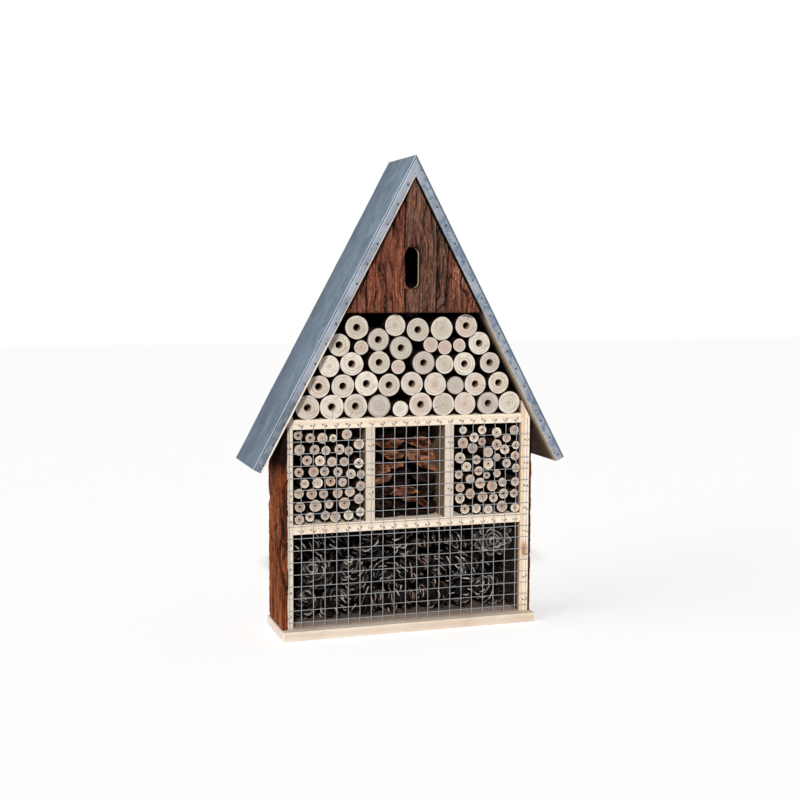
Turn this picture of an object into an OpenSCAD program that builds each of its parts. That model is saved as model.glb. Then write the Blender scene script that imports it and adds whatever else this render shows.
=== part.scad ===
// Insect hotel: a gabled timber house with five rooms, filled with drilled logs, canes, bark and
// pine cones, behind a welded wire mesh. The roof is boarded and covered with zinc sheet.
// Millimetres. X to the right, Y to the back, Z up. Z = 0 is the underside of the base board, X = 0
// is the middle of the house, and Y = 0 is halfway between the frontmost and rearmost points.

/* [Roof] */
// Height of the ridge above the underside of the base
ridge_h = 503; // [495:1:515]
// Width over the two eaves
roof_w = 345; // [335:1:360]
// Depth from the front edge to the back edge
roof_d = 93; // [88:1:105]
// Slope of each side, in degrees
roof_pitch = 61.7; // [61:0.1:62.5]
// Thickness of the roof boards
roof_board_t = 9.4; // [8:0.2:10]
// Thickness of the zinc sheet on the slopes and on the front edge
sheet_t = 0.6; // [0.4:0.1:1]
// Width of the zinc strip on the front edge of each roof board
fascia_w = 9; // [7:0.5:10]

/* [House] */
// Width over the side boards
body_w = 276; // [272:1:280]
// Depth of the side boards and shelves
body_d = 60; // [55:1:65]
// Thickness of the side boards, shelves, dividers and base
board_t = 10; // [8:0.5:11]
// Clear height of the lower and of the middle rooms
room_h = 100; // [98:1:102]
// Thickness of the back panel
back_t = 4; // [3:0.5:5]
// Distance from the roof's front edge back to the front of the house
front_overhang = 15; // [12:1:18]
// How far the base board reaches out in front of the house
base_lip = 11; // [6:1:12]
// How far the base board reaches out at each side
base_side_lip = 3.5; // [3.5:0.5:6]

/* [Gable] */
// Height of the gable board's lower edge
gable_z = 340.5; // [340:0.5:345]
// Thickness of the gable board
gable_t = 5; // [4:0.5:6]
// Width of the entry slot
slot_w = 15; // [12:0.5:18]
// Height of the entry slot
slot_h = 43; // [36:1:48]
// Height of the slot's middle
slot_z = 387; // [382:1:392]

/* [Bark] */
// Thickness of the bark on the sides
side_bark_t = 3; // [2:0.5:3.5]
// Gap between neighbouring strips of bark
bark_gap = 0.8; // [0.4:0.2:1.6]

/* [Mesh] */
// Distance between neighbouring wires of the half-inch mesh
mesh_pitch = 12.7; // [12.7:0.1:12.7]
// Diameter of the wires
wire_d = 0.9; // [0.8:0.1:1]
// Height of the upper ends of the upright wires
mesh_top = 225; // [223:1:227]

/* [Filling] */
// Diameter of the holes drilled in the logs
bore_d = 8; // [6:0.5:9]
// Depth of the holes drilled in the logs
bore_depth = 42; // [30:1:48]
// Diameter of the pith hole in a cane
pith_d = 3.2; // [2:0.2:4]
// Diameter of a pine cone
cone_d = 34; // [28:1:34]
// Length of a pine cone
cone_l = 48; // [40:1:54]

/* [Fixings] */
// Diameter of the nails' shanks
nail_d = 1.6; // [1.2:0.1:2]
// Diameter of the nails' heads
nail_head_d = 3.2; // [2.6:0.1:4]
// Thickness of the nails' heads
nail_head_t = 0.8; // [0.5:0.1:1]
// Width of a mesh staple over its crown
staple_w = 5.6; // [4.5:0.1:6]
// Diameter of the entry hole of the keyhole hanger
hanger_hole_d = 10; // [9:0.5:11]

/* [Hidden] */
$fn = 48;
wood = "#dfc9a4";
bark = "#8a4a30";
zinc = "#8fa3b5";
steel = "#9aa0a4";

roof_t = roof_board_t + sheet_t;
half_w = body_w / 2;
inner_w = body_w - 2 * board_t;
room_w = (inner_w - 2 * board_t) / 3;
divider_x = (room_w + board_t) / 2;
side_room_x = room_w + board_t;
base_t = board_t;
lower_shelf_z = base_t + room_h;
mid_room_z = lower_shelf_z + board_t;
upper_shelf_z = mid_room_z + room_h;
log_floor_z = upper_shelf_z + board_t;

// The roof and the nail heads on its front edge share the depth about Y = 0.
roof_front = (nail_head_t - roof_d) / 2;
body_front = roof_front + front_overhang;
body_back = body_front + body_d;
body_mid = body_front + body_d / 2;
panel_back = body_back + back_t;
nail_rows = [body_mid - 18, body_mid + 18];

// Height of a plane parallel to the roof's outer face, inset below it, at a distance x from the middle
function roof_z(x, inset) = ridge_h - inset / cos(roof_pitch) - abs(x) * tan(roof_pitch);

// Point on a roof slope: side -1 or 1, distance down the slope, depth below the outer face
function slope_point(side, run, inset) = [
    side * (run * cos(roof_pitch) - inset * sin(roof_pitch)),
    ridge_h - run * sin(roof_pitch) - inset * cos(roof_pitch)
];
slope_len = roof_w / 2 / cos(roof_pitch);
gable_half = (roof_z(0, roof_t) - gable_z) / tan(roof_pitch);

// Mesh wires: the first upright stands on the left side board, the first cross wire is the top one
upright_count = 22;
first_upright_x = -132.2;
cross_count = 16;
first_cross_z = 207.4;
cross_left = -133.5;
cross_right = 137;
wire_seat = 0.03;
cross_y = body_front - wire_d / 2;
upright_y = cross_y - wire_d - wire_seat;

staple_t = 0.7;
staple_crown_t = 0.5;
staple_grip = 6;
staple_crown_y = upright_y - wire_d / 2 - wire_seat - staple_crown_t;
staple_len = body_front - staple_crown_y + staple_grip;

// Logs of each course from the bottom up: centre x, centre height above the shelf, diameter, and
// 1 where the log is drilled
LOGS = [
    [[-112, 12.5, 25, 1], [-86, 12.5, 25, 1], [-60, 12.5, 25, 1], [-34, 12, 24, 0], [-11, 8.5, 17, 0],
     [12, 12.5, 25, 1], [38, 12, 24, 0], [63, 12, 24, 0], [89, 12, 24, 1], [114, 12, 24, 0]],
    [[-100, 34, 23, 1], [-74, 34, 24, 1], [-48, 36, 25, 1], [-23, 34, 23, 1], [2, 35, 24, 1],
     [28, 34, 24, 0], [52, 32, 19, 0], [75, 33, 24, 1], [101, 34, 23, 1]],
    [[-89, 55, 22, 0], [-64, 57, 24, 1], [-34, 58, 23, 1], [-13, 53, 15, 0], [15, 57, 24, 1],
     [39, 55, 20, 0], [62, 55, 24, 1], [91, 56, 22, 1]],
    [[-78, 77, 23, 1], [-54, 74, 15, 0], [-35, 82, 23, 1], [-10, 73, 24, 1], [23, 76, 16, 0],
     [39, 73, 15, 0], [56, 75, 14, 0], [79, 77, 24, 1]],
    [[-59, 95, 24, 1], [-17, 97, 22, 0], [9, 92, 24, 1], [36, 93, 24, 0], [63, 96, 24, 1]]
];

// Edges of the five strips of gable bark, and how thick each strip is
GABLE_BARK_X = [-76, -50, -8, 27, 38.5, 76];
GABLE_BARK_T = [5, 5.6, 5, 4.4, 5.4];

// Edges of the three strips of bark on each side, from the front, and how thick each strip is
SIDE_BARK_Y = [0, 19, 37, 60];
SIDE_BARK_T = [3, 2.6, 3];

// Canes of each side room: how far the centre is from the middle of the room, its height above the
// shelf, and the diameter
LEFT_CANES = [
    [-32.4, 5.6, 10.8], [6.9, 6.2, 12], [-20.4, 7.3, 10], [20.8, 7.6, 10.8], [-4.8, 8.8, 10],
    [33.8, 10.3, 10.4], [-30.9, 18.3, 11.2], [-14.4, 19, 13], [-0.2, 20.3, 10.4], [16.5, 20.3, 13],
    [32.6, 24.2, 11.6], [-5.9, 31.3, 10.4], [9.5, 31.4, 11.2], [-18.5, 31.8, 11.6],
    [22.6, 32.3, 11.6], [-32.1, 32.5, 11.2], [34, 38.2, 10.4], [14.9, 42.7, 10.4], [-26.5, 43.1, 10],
    [-12.3, 43.1, 12], [1.7, 44.3, 11.2], [34.4, 50.4, 9.4], [23.1, 51.6, 10.8], [9.8, 53.9, 10.8],
    [-4.3, 54.8, 10.8], [-32.2, 55, 10.8], [-16.7, 55.2, 11.6], [32.1, 62.4, 11.2], [17.1, 64, 10.4],
    [3.5, 64.6, 11.6], [-10.1, 66.5, 11.2], [-23.2, 67, 11.2], [22.3, 75.1, 10.4], [-3, 76.6, 10.4],
    [10.8, 78, 11.2], [-15.4, 78.2, 11.2], [-31.1, 78.3, 12], [32.9, 82.4, 12.4], [4.3, 89.6, 9],
    [-7.4, 90.1, 11.6], [-20.2, 90.6, 10.8], [-32.3, 93.3, 10], [18.8, 93.3, 11.6]
];
RIGHT_CANES = [
    [2.2, 5.5, 10.2], [34.1, 5.6, 10.2], [-24.5, 6.6, 10.2], [-12.2, 7.2, 10.2], [18.6, 7.8, 12],
    [8.9, 17.7, 9.8], [-30.6, 19, 11.2], [-4.3, 19.5, 11.6], [33.3, 21.3, 9.2], [20.6, 21.7, 11.2],
    [-18.2, 23.3, 11.2], [-31.2, 31.3, 10.2], [5.9, 31.4, 11.6], [20.1, 34, 9.8], [-7.5, 34.8, 11.6],
    [33.1, 34.9, 10.2], [-19.6, 39.9, 10.6], [1.2, 42.7, 8], [12.7, 44.4, 8.8], [-31.8, 44.9, 9.2],
    [-9.4, 48.4, 10.2], [34.3, 49.8, 9.8], [-22.5, 52.9, 10.6], [2.6, 55.3, 12], [23.2, 55.5, 10.2],
    [-12.5, 60.8, 9.8], [12.4, 62.1, 8.8], [34.1, 62.9, 10.2], [-30.7, 63.2, 11.6],
    [0.9, 68.7, 11.2], [22, 70.3, 10.6], [-15.4, 73.1, 11.2], [33.6, 75.1, 8.8], [10.9, 76.4, 11.2],
    [-27.7, 79.4, 12], [-4.9, 79.8, 8.8], [22.7, 83.3, 9.8], [-15.8, 85.3, 10.6], [11.6, 89.6, 11.2],
    [33.4, 91.2, 10.6], [-4.7, 92.7, 9.8], [-27.8, 93.4, 8.4]
];

// Pieces of loose bark in the middle room: the middle's X, its height above the shelf, width,
// thickness, tilt in degrees, and how far the piece stands back from the front of the house
BARK_CHIPS = [
    [-19.4, 3.3, 27.5, 5.2, 0, 14], [8.4, 3.4, 26, 5.2, 2, 15], [29.9, 9.3, 15.5, 9.4, 40, 18],
    [-5.7, 12.4, 17, 7, 5, 18], [-24.8, 14.8, 19.5, 8.8, -6, 12], [18.8, 15.2, 13, 6.4, -50, 7],
    [2.1, 20.3, 19.5, 5.8, -10, 9], [-27.5, 27.2, 17.5, 9.4, 3, 12], [23.2, 28.3, 19.5, 8.8, 10, 12],
    [-3.8, 29.1, 28, 8, -3, 6], [-3.7, 38.9, 19.5, 6.4, 0, 13], [21.8, 42.2, 24.5, 8.8, -6, 14],
    [-27.5, 42.6, 19, 5.8, 14, 7], [-1.9, 47.4, 19.5, 6.4, 8, 16], [-29.1, 53.4, 16, 8.2, 5, 5],
    [21.3, 56.6, 22, 7, -18, 5], [-11.7, 57.1, 17.5, 5.2, 12, 8], [-15.3, 68.5, 22, 8.2, -4, 6],
    [13.7, 68.6, 32.5, 10, -10, 3], [-18.8, 80.7, 26, 9.8, 0, 8], [15.3, 81.1, 24.5, 10.6, -5, 6],
    [-20.8, 91.9, 19.5, 8.8, 4, 16], [0.5, 92.1, 16, 7.6, -6, 18], [19.5, 92.9, 19.5, 7.6, 5, 14]
];

// Keyhole hanger: the height of its entry hole, its plate, its slot and its screws
hanger_z = 392;
hanger_w = 44;
hanger_h = 30;
hanger_t = 1.5;
hanger_slot_w = 5;
hanger_slot_rise = 10;
hanger_clear_d = 16;
hanger_screw_x = 17;

fascia_nail_count = 15;

// ---- shared shapes ----

// Extrudes an outline drawn in X and Z from y0 towards the back
module slab(y0, depth) {
    translate([0, y0 + depth, 0])
        rotate([90, 0, 0])
            linear_extrude(depth)
                children();
}

// Round rod along Y
module rod(x, z, d, y0, len) {
    translate([x, y0 + len, z])
        rotate([90, 0, 0])
            cylinder(d = d, h = len);
}

// Box from its lowest corner
module block(x, y, z, size) {
    translate([x, y, z])
        cube(size);
}

// Strip of a roof slope, square at the eave and plumb at the ridge
module slope_outline(side, inset, thick) {
    polygon([
        [0, ridge_h - inset / cos(roof_pitch)],
        slope_point(side, slope_len, inset),
        slope_point(side, slope_len, inset + thick),
        [0, ridge_h - (inset + thick) / cos(roof_pitch)]
    ]);
}

// Flat-headed nail whose head's outer face is at the origin and whose shank points along +Z
module nail(len) {
    cylinder(d = nail_head_d, h = nail_head_t);
    cylinder(d = nail_d, h = len);
}

// Entry slot, drawn through along Y
module slot(width, y0, depth) {
    reach = (slot_h - slot_w) / 2;
    block(-width / 2, y0, slot_z - reach, [width, depth, 2 * reach]);
    rod(0, slot_z - reach, width, y0, depth);
    rod(0, slot_z + reach, width, y0, depth);
}

// ---- fixings, drawn once and used both as solids and as the holes that they sit in ----

module frame_nail_set() {
    len = 30;
    for (side = [-1, 1], y = nail_rows) {
        for (z = [lower_shelf_z, upper_shelf_z])
            translate([side * half_w, y, z + board_t / 2])
                rotate([0, -side * 90, 0])
                    nail(len);
        translate([side * (half_w - board_t / 2), y, 0])
            nail(len);
        translate([side * divider_x, y, lower_shelf_z])
            nail(len);
        translate([side * divider_x, y, log_floor_z])
            rotate([180, 0, 0])
                nail(len);
    }
}

module back_panel_nail_set() {
    len = 16;
    for (side = [-1, 1], z = [30, 85, 140, 195])
        translate([side * (half_w - board_t / 2), panel_back, z])
            rotate([90, 0, 0])
                nail(len);
    for (x = [-80, 0, 80], z = [lower_shelf_z, upper_shelf_z])
        translate([x, panel_back, z + board_t / 2])
            rotate([90, 0, 0])
                nail(len);
}

// Nails from the roof boards' tops into the side boards and the gable board, under the zinc, and
// headless pins across the ridge
module roof_nail_set() {
    len = 26;
    side_run = (half_w - board_t / 2) / cos(roof_pitch);
    for (side = [-1, 1]) {
        for (y = nail_rows)
            slope_nail(side, side_run, y, len);
        for (run = [50, 125])
            slope_nail(side, run, body_front + gable_t / 2, len);
    }
    for (y = [-30, 0, 30])
        translate([-6, y, ridge_h - 13])
            rotate([0, 90, 0])
                cylinder(d = nail_d, h = 12);
}

module slope_nail(side, run, y, len) {
    p = slope_point(side, run, sheet_t);
    translate([p.x, y, p.y])
        rotate([0, 180 + side * roof_pitch, 0])
            nail(len);
}

// One row of nails down each zinc strip
module fascia_nail_set() {
    len = 18;
    for (i = [0 : fascia_nail_count - 1]) {
        fascia_nail(-1, 31 + 23.2 * i, 6.6, len);
        fascia_nail(1, 57 + 21.5 * i, 5, len);
    }
}

module fascia_nail(side, run, inset, len) {
    p = slope_point(side, run, inset);
    translate([p.x, roof_front - nail_head_t, p.y])
        rotate([-90, 0, 0])
            nail(len);
}

// Staples over the upright wires of the mesh: along both rails, and between cross wires on the two
// side boards and the two dividers
module staple_set() {
    for (k = [1 : upright_count - 2], z = [lower_shelf_z + 3.5, mesh_top - 1])
        staple(first_upright_x + k * mesh_pitch, z);
    for (k = [7, 14], j = [0, 2, 4])
        staple(first_upright_x + k * mesh_pitch, first_cross_z - (j + 0.5) * mesh_pitch);
    for (k = [0, upright_count - 1], j = [0 : 2 : cross_count - 2])
        staple(first_upright_x + k * mesh_pitch, first_cross_z - (j + 0.5) * mesh_pitch);
}

// One staple: its crown lies across a wire and its two legs go into the board behind
module staple(x, z) {
    translate([x, staple_crown_y, z - staple_t / 2]) {
        block(-staple_w / 2, 0, 0, [staple_w, staple_crown_t, staple_t]);
        for (s = [-1, 1])
            block(s * (staple_w - staple_t) / 2 - staple_t / 2, 0, 0, [staple_t, staple_len, staple_t]);
    }
}

// ---- house ----

module base_board() {
    color(wood)
        difference() {
            block(-half_w - base_side_lip, body_front - base_lip, 0,
                  [body_w + 2 * base_side_lip, base_lip + body_d + back_t, base_t]);
            frame_nail_set();
        }
}

// Side board with its top bevelled to the underside of the roof
module side_board(side) {
    outer = side * half_w;
    inner = side * (half_w - board_t);
    color(wood)
        difference() {
            slab(body_front, body_d)
                polygon([
                    [outer, base_t],
                    [inner, base_t],
                    [inner, roof_z(inner, roof_t)],
                    [outer, roof_z(outer, roof_t)]
                ]);
            frame_nail_set();
            back_panel_nail_set();
            roof_nail_set();
            staple_set();
        }
}

module shelf(z) {
    color(wood)
        difference() {
            block(-inner_w / 2, body_front, z, [inner_w, body_d, board_t]);
            frame_nail_set();
            back_panel_nail_set();
            staple_set();
        }
}

module divider(side) {
    color(wood)
        difference() {
            block(side * divider_x - board_t / 2, body_front, mid_room_z, [board_t, body_d, room_h]);
            frame_nail_set();
            staple_set();
        }
}

module back_panel() {
    color("#c9b48d")
        difference() {
            slab(body_back, back_t)
                polygon([
                    [-half_w, base_t],
                    [half_w, base_t],
                    [half_w, roof_z(half_w, roof_t)],
                    [0, roof_z(0, roof_t)],
                    [-half_w, roof_z(half_w, roof_t)]
                ]);
            back_panel_nail_set();
            hanger_screw_set();
            rod(0, hanger_z, hanger_clear_d, body_back - 1, back_t + 2);
            rod(0, hanger_z + hanger_slot_rise, hanger_clear_d, body_back - 1, back_t + 2);
        }
}

module gable_board() {
    color("#d8bd90")
        difference() {
            slab(body_front, gable_t)
                polygon([[-gable_half, gable_z], [gable_half, gable_z], [0, roof_z(0, roof_t)]]);
            slot(slot_w, body_front - 1, gable_t + 2);
            roof_nail_set();
        }
}

// ---- roof ----

module roof_board(side) {
    color(wood)
        difference() {
            slab(roof_front + sheet_t, roof_d - sheet_t)
                slope_outline(side, sheet_t, roof_board_t);
            roof_nail_set();
            fascia_nail_set();
        }
}

module roof_sheet(side) {
    color(zinc)
        slab(roof_front + sheet_t, roof_d - sheet_t)
            slope_outline(side, 0, sheet_t);
}

module fascia(side) {
    color("#a9b8c6")
        difference() {
            slab(roof_front, sheet_t)
                slope_outline(side, 0, fascia_w);
            fascia_nail_set();
        }
}

// ---- bark ----

// Strip n of the bark on the gable board, clear of the roof boards' undersides
module gable_bark(n) {
    edge_gap = 1;
    thick = GABLE_BARK_T[n - 1];
    left = GABLE_BARK_X[n - 1] + bark_gap / 2;
    right = GABLE_BARK_X[n] - bark_gap / 2;
    top = roof_z(0, roof_t + edge_gap);
    reach = (top - gable_z) / tan(roof_pitch);
    color(bark)
        difference() {
            intersection() {
                slab(body_front - thick, thick)
                    polygon([[-reach, gable_z], [reach, gable_z], [0, top]]);
                block(left, body_front - thick - 1, gable_z - 1,
                      [right - left, thick + 2, top - gable_z + 2]);
            }
            slot(slot_w + 1, body_front - thick - 1, thick + 2);
        }
}

// Strip n of the bark on a side board, from the base up to the roof board's underside
module side_bark(side, n) {
    front = body_front + SIDE_BARK_Y[n - 1] + bark_gap / 2;
    depth = SIDE_BARK_Y[n] - SIDE_BARK_Y[n - 1] - bark_gap;
    outer = half_w + SIDE_BARK_T[n - 1] * side_bark_t / 3;
    color(bark)
        slab(front, depth)
            polygon([
                [side * half_w, base_t],
                [side * outer, base_t],
                [side * outer, roof_z(outer, roof_t)],
                [side * half_w, roof_z(half_w, roof_t)]
            ]);
}

// ---- filling ----

function log_front(i) = body_front + 0.8 + 0.7 * ((i * 5) % 4);

module drilled_logs(course) {
    logs = LOGS[course - 1];
    color("#d9cdb8")
        for (i = [0 : len(logs) - 1])
            if (logs[i][3] == 1)
                difference() {
                    log_rod(logs[i], i);
                    rod(logs[i].x, log_floor_z + logs[i].y, bore_d, log_front(i) - 1, bore_depth + 1);
                }
}

module plain_logs(course) {
    logs = LOGS[course - 1];
    color("#cdb9a4")
        for (i = [0 : len(logs) - 1])
            if (logs[i][3] == 0)
                log_rod(logs[i], i);
}

module log_rod(log, i) {
    rod(log.x, log_floor_z + log.y, log.z, log_front(i), body_back - log_front(i));
}

// Canes of one side room, each with a short hole in its pith
module canes(side, table) {
    pith_depth = 18;
    color("#d8c8ae")
        for (i = [0 : len(table) - 1]) {
            cane = table[i];
            x = side * side_room_x + cane.x;
            z = mid_room_z + cane.y;
            front = body_front + 1.5 + 1.2 * sin(83 * i + 60 * side);
            difference() {
                rod(x, z, cane.z, front, body_back - front);
                rod(x, z, pith_d, front - 1, pith_depth + 1);
            }
        }
}

// Loose pieces of bark that fill the middle room, lying along Y with their broken ends in front
module bark_chips() {
    color("#7d4630")
        for (chip = BARK_CHIPS) {
            width = chip[2];
            thick = chip[3];
            front = body_front + chip[5];
            translate([chip.x, 0, mid_room_z + chip.y])
                rotate([0, -chip[4], 0])
                    slab(front, body_back - front)
                        polygon([
                            [-width / 2, -thick * 0.3],
                            [-width * 0.3, -thick / 2],
                            [width * 0.35, -thick / 2],
                            [width / 2, thick * 0.1],
                            [width * 0.3, thick / 2],
                            [-width * 0.35, thick / 2]
                        ]);
        }
}

// One row of pine cones, lying along Y and turned about in turn
module pine_cones(row, count) {
    color("#5a463a")
        for (i = [0 : count - 1])
            translate([
                (i - 3 + row % 2 / 2) * inner_w / 7.1,
                body_mid,
                base_t + cone_d / 2 + row * (room_h - cone_d - 0.5) / 2
            ])
                rotate([(i % 2 == 0 ? 1 : -1) * 90, 0, 0])
                    pine_cone();
}

// Egg-shaped cone about Z, broad at its foot and round at its tip
module pine_cone() {
    steps = 14;
    rotate_extrude()
        polygon([
            for (k = [0 : steps])
                let (t = k / steps)
                    [cone_d / 2 * sin(180 * pow(t, 0.75)), cone_l * (t - 0.5)]
        ]);
}

// ---- mesh ----

module mesh_uprights() {
    foot = base_t + 0.6;
    color(steel)
        for (k = [0 : upright_count - 1])
            translate([first_upright_x + k * mesh_pitch, upright_y, foot])
                cylinder(d = wire_d, h = mesh_top - foot);
}

module mesh_cross_wires() {
    color(steel)
        for (j = [0 : cross_count - 1])
            translate([cross_left, cross_y, first_cross_z - j * mesh_pitch])
                rotate([0, 90, 0])
                    cylinder(d = wire_d, h = cross_right - cross_left);
}

module mesh_staples() {
    color("#6d6a66")
        staple_set();
}

// ---- nails and hanger ----

module fascia_nails() {
    color("#5f6670")
        fascia_nail_set();
}

module roof_nails() {
    color(steel)
        roof_nail_set();
}

module frame_nails() {
    color(steel)
        frame_nail_set();
}

module back_panel_nails() {
    color(steel)
        back_panel_nail_set();
}

// Keyhole plate over a clearance hole in the back panel
module hanger_plate() {
    color("silver")
        difference() {
            block(-hanger_w / 2, panel_back, hanger_z - 11, [hanger_w, hanger_t, hanger_h]);
            rod(0, hanger_z, hanger_hole_d, panel_back - 1, hanger_t + 2);
            block(-hanger_slot_w / 2, panel_back - 1, hanger_z,
                  [hanger_slot_w, hanger_t + 2, hanger_slot_rise]);
            rod(0, hanger_z + hanger_slot_rise, hanger_slot_w, panel_back - 1, hanger_t + 2);
            hanger_screw_set();
        }
}

module hanger_screw_set() {
    screw_d = 3;
    head_d = 5.6;
    head_t = 1.8;
    for (s = [-1, 1]) {
        rod(s * hanger_screw_x, hanger_z + 4, screw_d, body_back + 0.2, back_t - 0.2 + hanger_t + head_t);
        rod(s * hanger_screw_x, hanger_z + 4, head_d, panel_back + hanger_t, head_t);
    }
}

module hanger_screws() {
    color("silver")
        hanger_screw_set();
}

// ---- nodes ----

base_board();
side_board(-1);  // left_side_board
side_board(1);  // right_side_board
shelf(lower_shelf_z);  // lower_shelf
shelf(upper_shelf_z);  // upper_shelf
divider(-1);  // left_divider
divider(1);  // right_divider
back_panel();
gable_board();
roof_board(-1);  // left_roof_board
roof_board(1);  // right_roof_board
roof_sheet(-1);  // left_roof_sheet
roof_sheet(1);  // right_roof_sheet
fascia(-1);  // left_fascia
fascia(1);  // right_fascia
gable_bark(1);  // gable_bark_1
gable_bark(2);  // gable_bark_2
gable_bark(3);  // gable_bark_3
gable_bark(4);  // gable_bark_4
gable_bark(5);  // gable_bark_5
side_bark(-1, 1);  // left_bark_1
side_bark(-1, 2);  // left_bark_2
side_bark(-1, 3);  // left_bark_3
side_bark(1, 1);  // right_bark_1
side_bark(1, 2);  // right_bark_2
side_bark(1, 3);  // right_bark_3
drilled_logs(1);  // drilled_logs_1
drilled_logs(2);  // drilled_logs_2
drilled_logs(3);  // drilled_logs_3
drilled_logs(4);  // drilled_logs_4
drilled_logs(5);  // drilled_logs_5
plain_logs(1);  // plain_logs_1
plain_logs(2);  // plain_logs_2
plain_logs(3);  // plain_logs_3
plain_logs(4);  // plain_logs_4
plain_logs(5);  // plain_logs_5
canes(-1, LEFT_CANES);  // left_canes
canes(1, RIGHT_CANES);  // right_canes
bark_chips();
pine_cones(0, 7);  // pine_cones_lower
pine_cones(1, 6);  // pine_cones_middle
pine_cones(2, 7);  // pine_cones_upper
mesh_uprights();
mesh_cross_wires();
mesh_staples();
fascia_nails();
roof_nails();
frame_nails();
back_panel_nails();
hanger_plate();
hanger_screws();
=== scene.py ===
"""Insect hotel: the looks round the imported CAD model, in metres and in its frame: X right, Y back, Z up."""

import math
import random

import bmesh
import bpy
import numpy as np
from mathutils import Matrix, Vector, noise


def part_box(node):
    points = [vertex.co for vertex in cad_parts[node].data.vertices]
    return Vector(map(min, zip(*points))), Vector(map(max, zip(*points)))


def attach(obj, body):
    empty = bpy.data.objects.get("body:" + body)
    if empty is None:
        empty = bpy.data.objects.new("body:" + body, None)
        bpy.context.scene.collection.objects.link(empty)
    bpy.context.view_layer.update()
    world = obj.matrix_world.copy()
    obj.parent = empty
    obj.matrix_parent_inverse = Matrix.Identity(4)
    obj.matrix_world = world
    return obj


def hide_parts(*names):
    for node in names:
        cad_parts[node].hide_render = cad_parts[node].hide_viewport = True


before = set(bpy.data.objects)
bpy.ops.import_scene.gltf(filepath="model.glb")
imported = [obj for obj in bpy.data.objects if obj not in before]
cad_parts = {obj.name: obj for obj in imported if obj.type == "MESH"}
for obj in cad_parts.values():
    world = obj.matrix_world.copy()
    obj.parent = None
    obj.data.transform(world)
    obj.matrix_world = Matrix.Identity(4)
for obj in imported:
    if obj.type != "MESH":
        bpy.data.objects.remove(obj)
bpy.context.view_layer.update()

MM = 0.001
TAU = 2 * math.pi
GOLDEN = math.pi * (3 - math.sqrt(5))


# ---- places taken from the CAD nodes ----


def low(node):
    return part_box(node)[0]


def high(node):
    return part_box(node)[1]


RIDGE_Z = high("left_roof_sheet").z
EAVE_X = high("right_roof_sheet").x
EAVE_Z = low("right_roof_sheet").z
ROOF_PITCH = math.atan2(RIDGE_Z - EAVE_Z, EAVE_X)
ROOF_FRONT = low("left_fascia").y
ROOF_BACK = high("left_roof_board").y
BODY_FRONT = low("upper_shelf").y
BODY_BACK = high("upper_shelf").y
BASE_TOP = high("base_board").z
SIDE_OUT = high("right_side_board").x
GABLE_LOW = low("gable_board").z
GABLE_TOP = high("gable_bark_3").z
LOG_FLOOR = high("upper_shelf").z
SLOPE = (RIDGE_Z - EAVE_Z) / EAVE_X
SLOPE_LEN = math.hypot(RIDGE_Z - EAVE_Z, EAVE_X)

# The same places in millimetres, as the materials and the bark use them.
FRONT_MM = BODY_FRONT / MM
BACK_MM = BODY_BACK / MM
SIDE_MM = SIDE_OUT / MM
EAVE_MM = EAVE_Z / MM
ROOF_FRONT_MM = ROOF_FRONT / MM
LOG_FLOOR_MM = LOG_FLOOR / MM


def slope_point(side, run, inset, y):
    """A point run down one roof slope and inset below its outer face."""
    c, s = math.cos(ROOF_PITCH), math.sin(ROOF_PITCH)
    return Vector((side * (run * c - inset * s), y, RIDGE_Z - run * s - inset * c))


def face_centre(lo, hi):
    """The x and z of a box's middle."""
    return (lo.x + hi.x) / 2, (lo.z + hi.z) / 2


def solid_points(node):
    """The points of each separate solid in a CAD node, the lowest first and then from the left."""
    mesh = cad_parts[node].data
    points = np.array([v.co for v in mesh.vertices])
    keys, where = np.unique(np.round(points * 1e5).astype(int), axis=0, return_inverse=True)
    where = where.reshape(-1)
    above = list(range(len(keys)))

    def top(i):
        while above[i] != i:
            above[i] = above[above[i]]
            i = above[i]
        return i

    for face in mesh.polygons:
        first = top(where[face.vertices[0]])
        for v in face.vertices[1:]:
            above[top(where[v])] = first
    group = np.array([top(i) for i in where])
    found = [points[group == g] for g in np.unique(group)]
    return sorted(found, key=lambda own: tuple(np.round(own.min(0)[[2, 0, 1]], 4)))


def solids(node):
    """The box of each separate solid in a CAD node, in the same order."""
    return [(Vector(own.min(0)), Vector(own.max(0))) for own in solid_points(node)]


def seeded(*key):
    return random.Random(" ".join(str(k) for k in key))


def wave(x, y=0.0, z=0.0):
    """Smooth noise between about -1 and 1."""
    return noise.noise(Vector((x, y, z)))


# ---- mesh building ----


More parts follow.
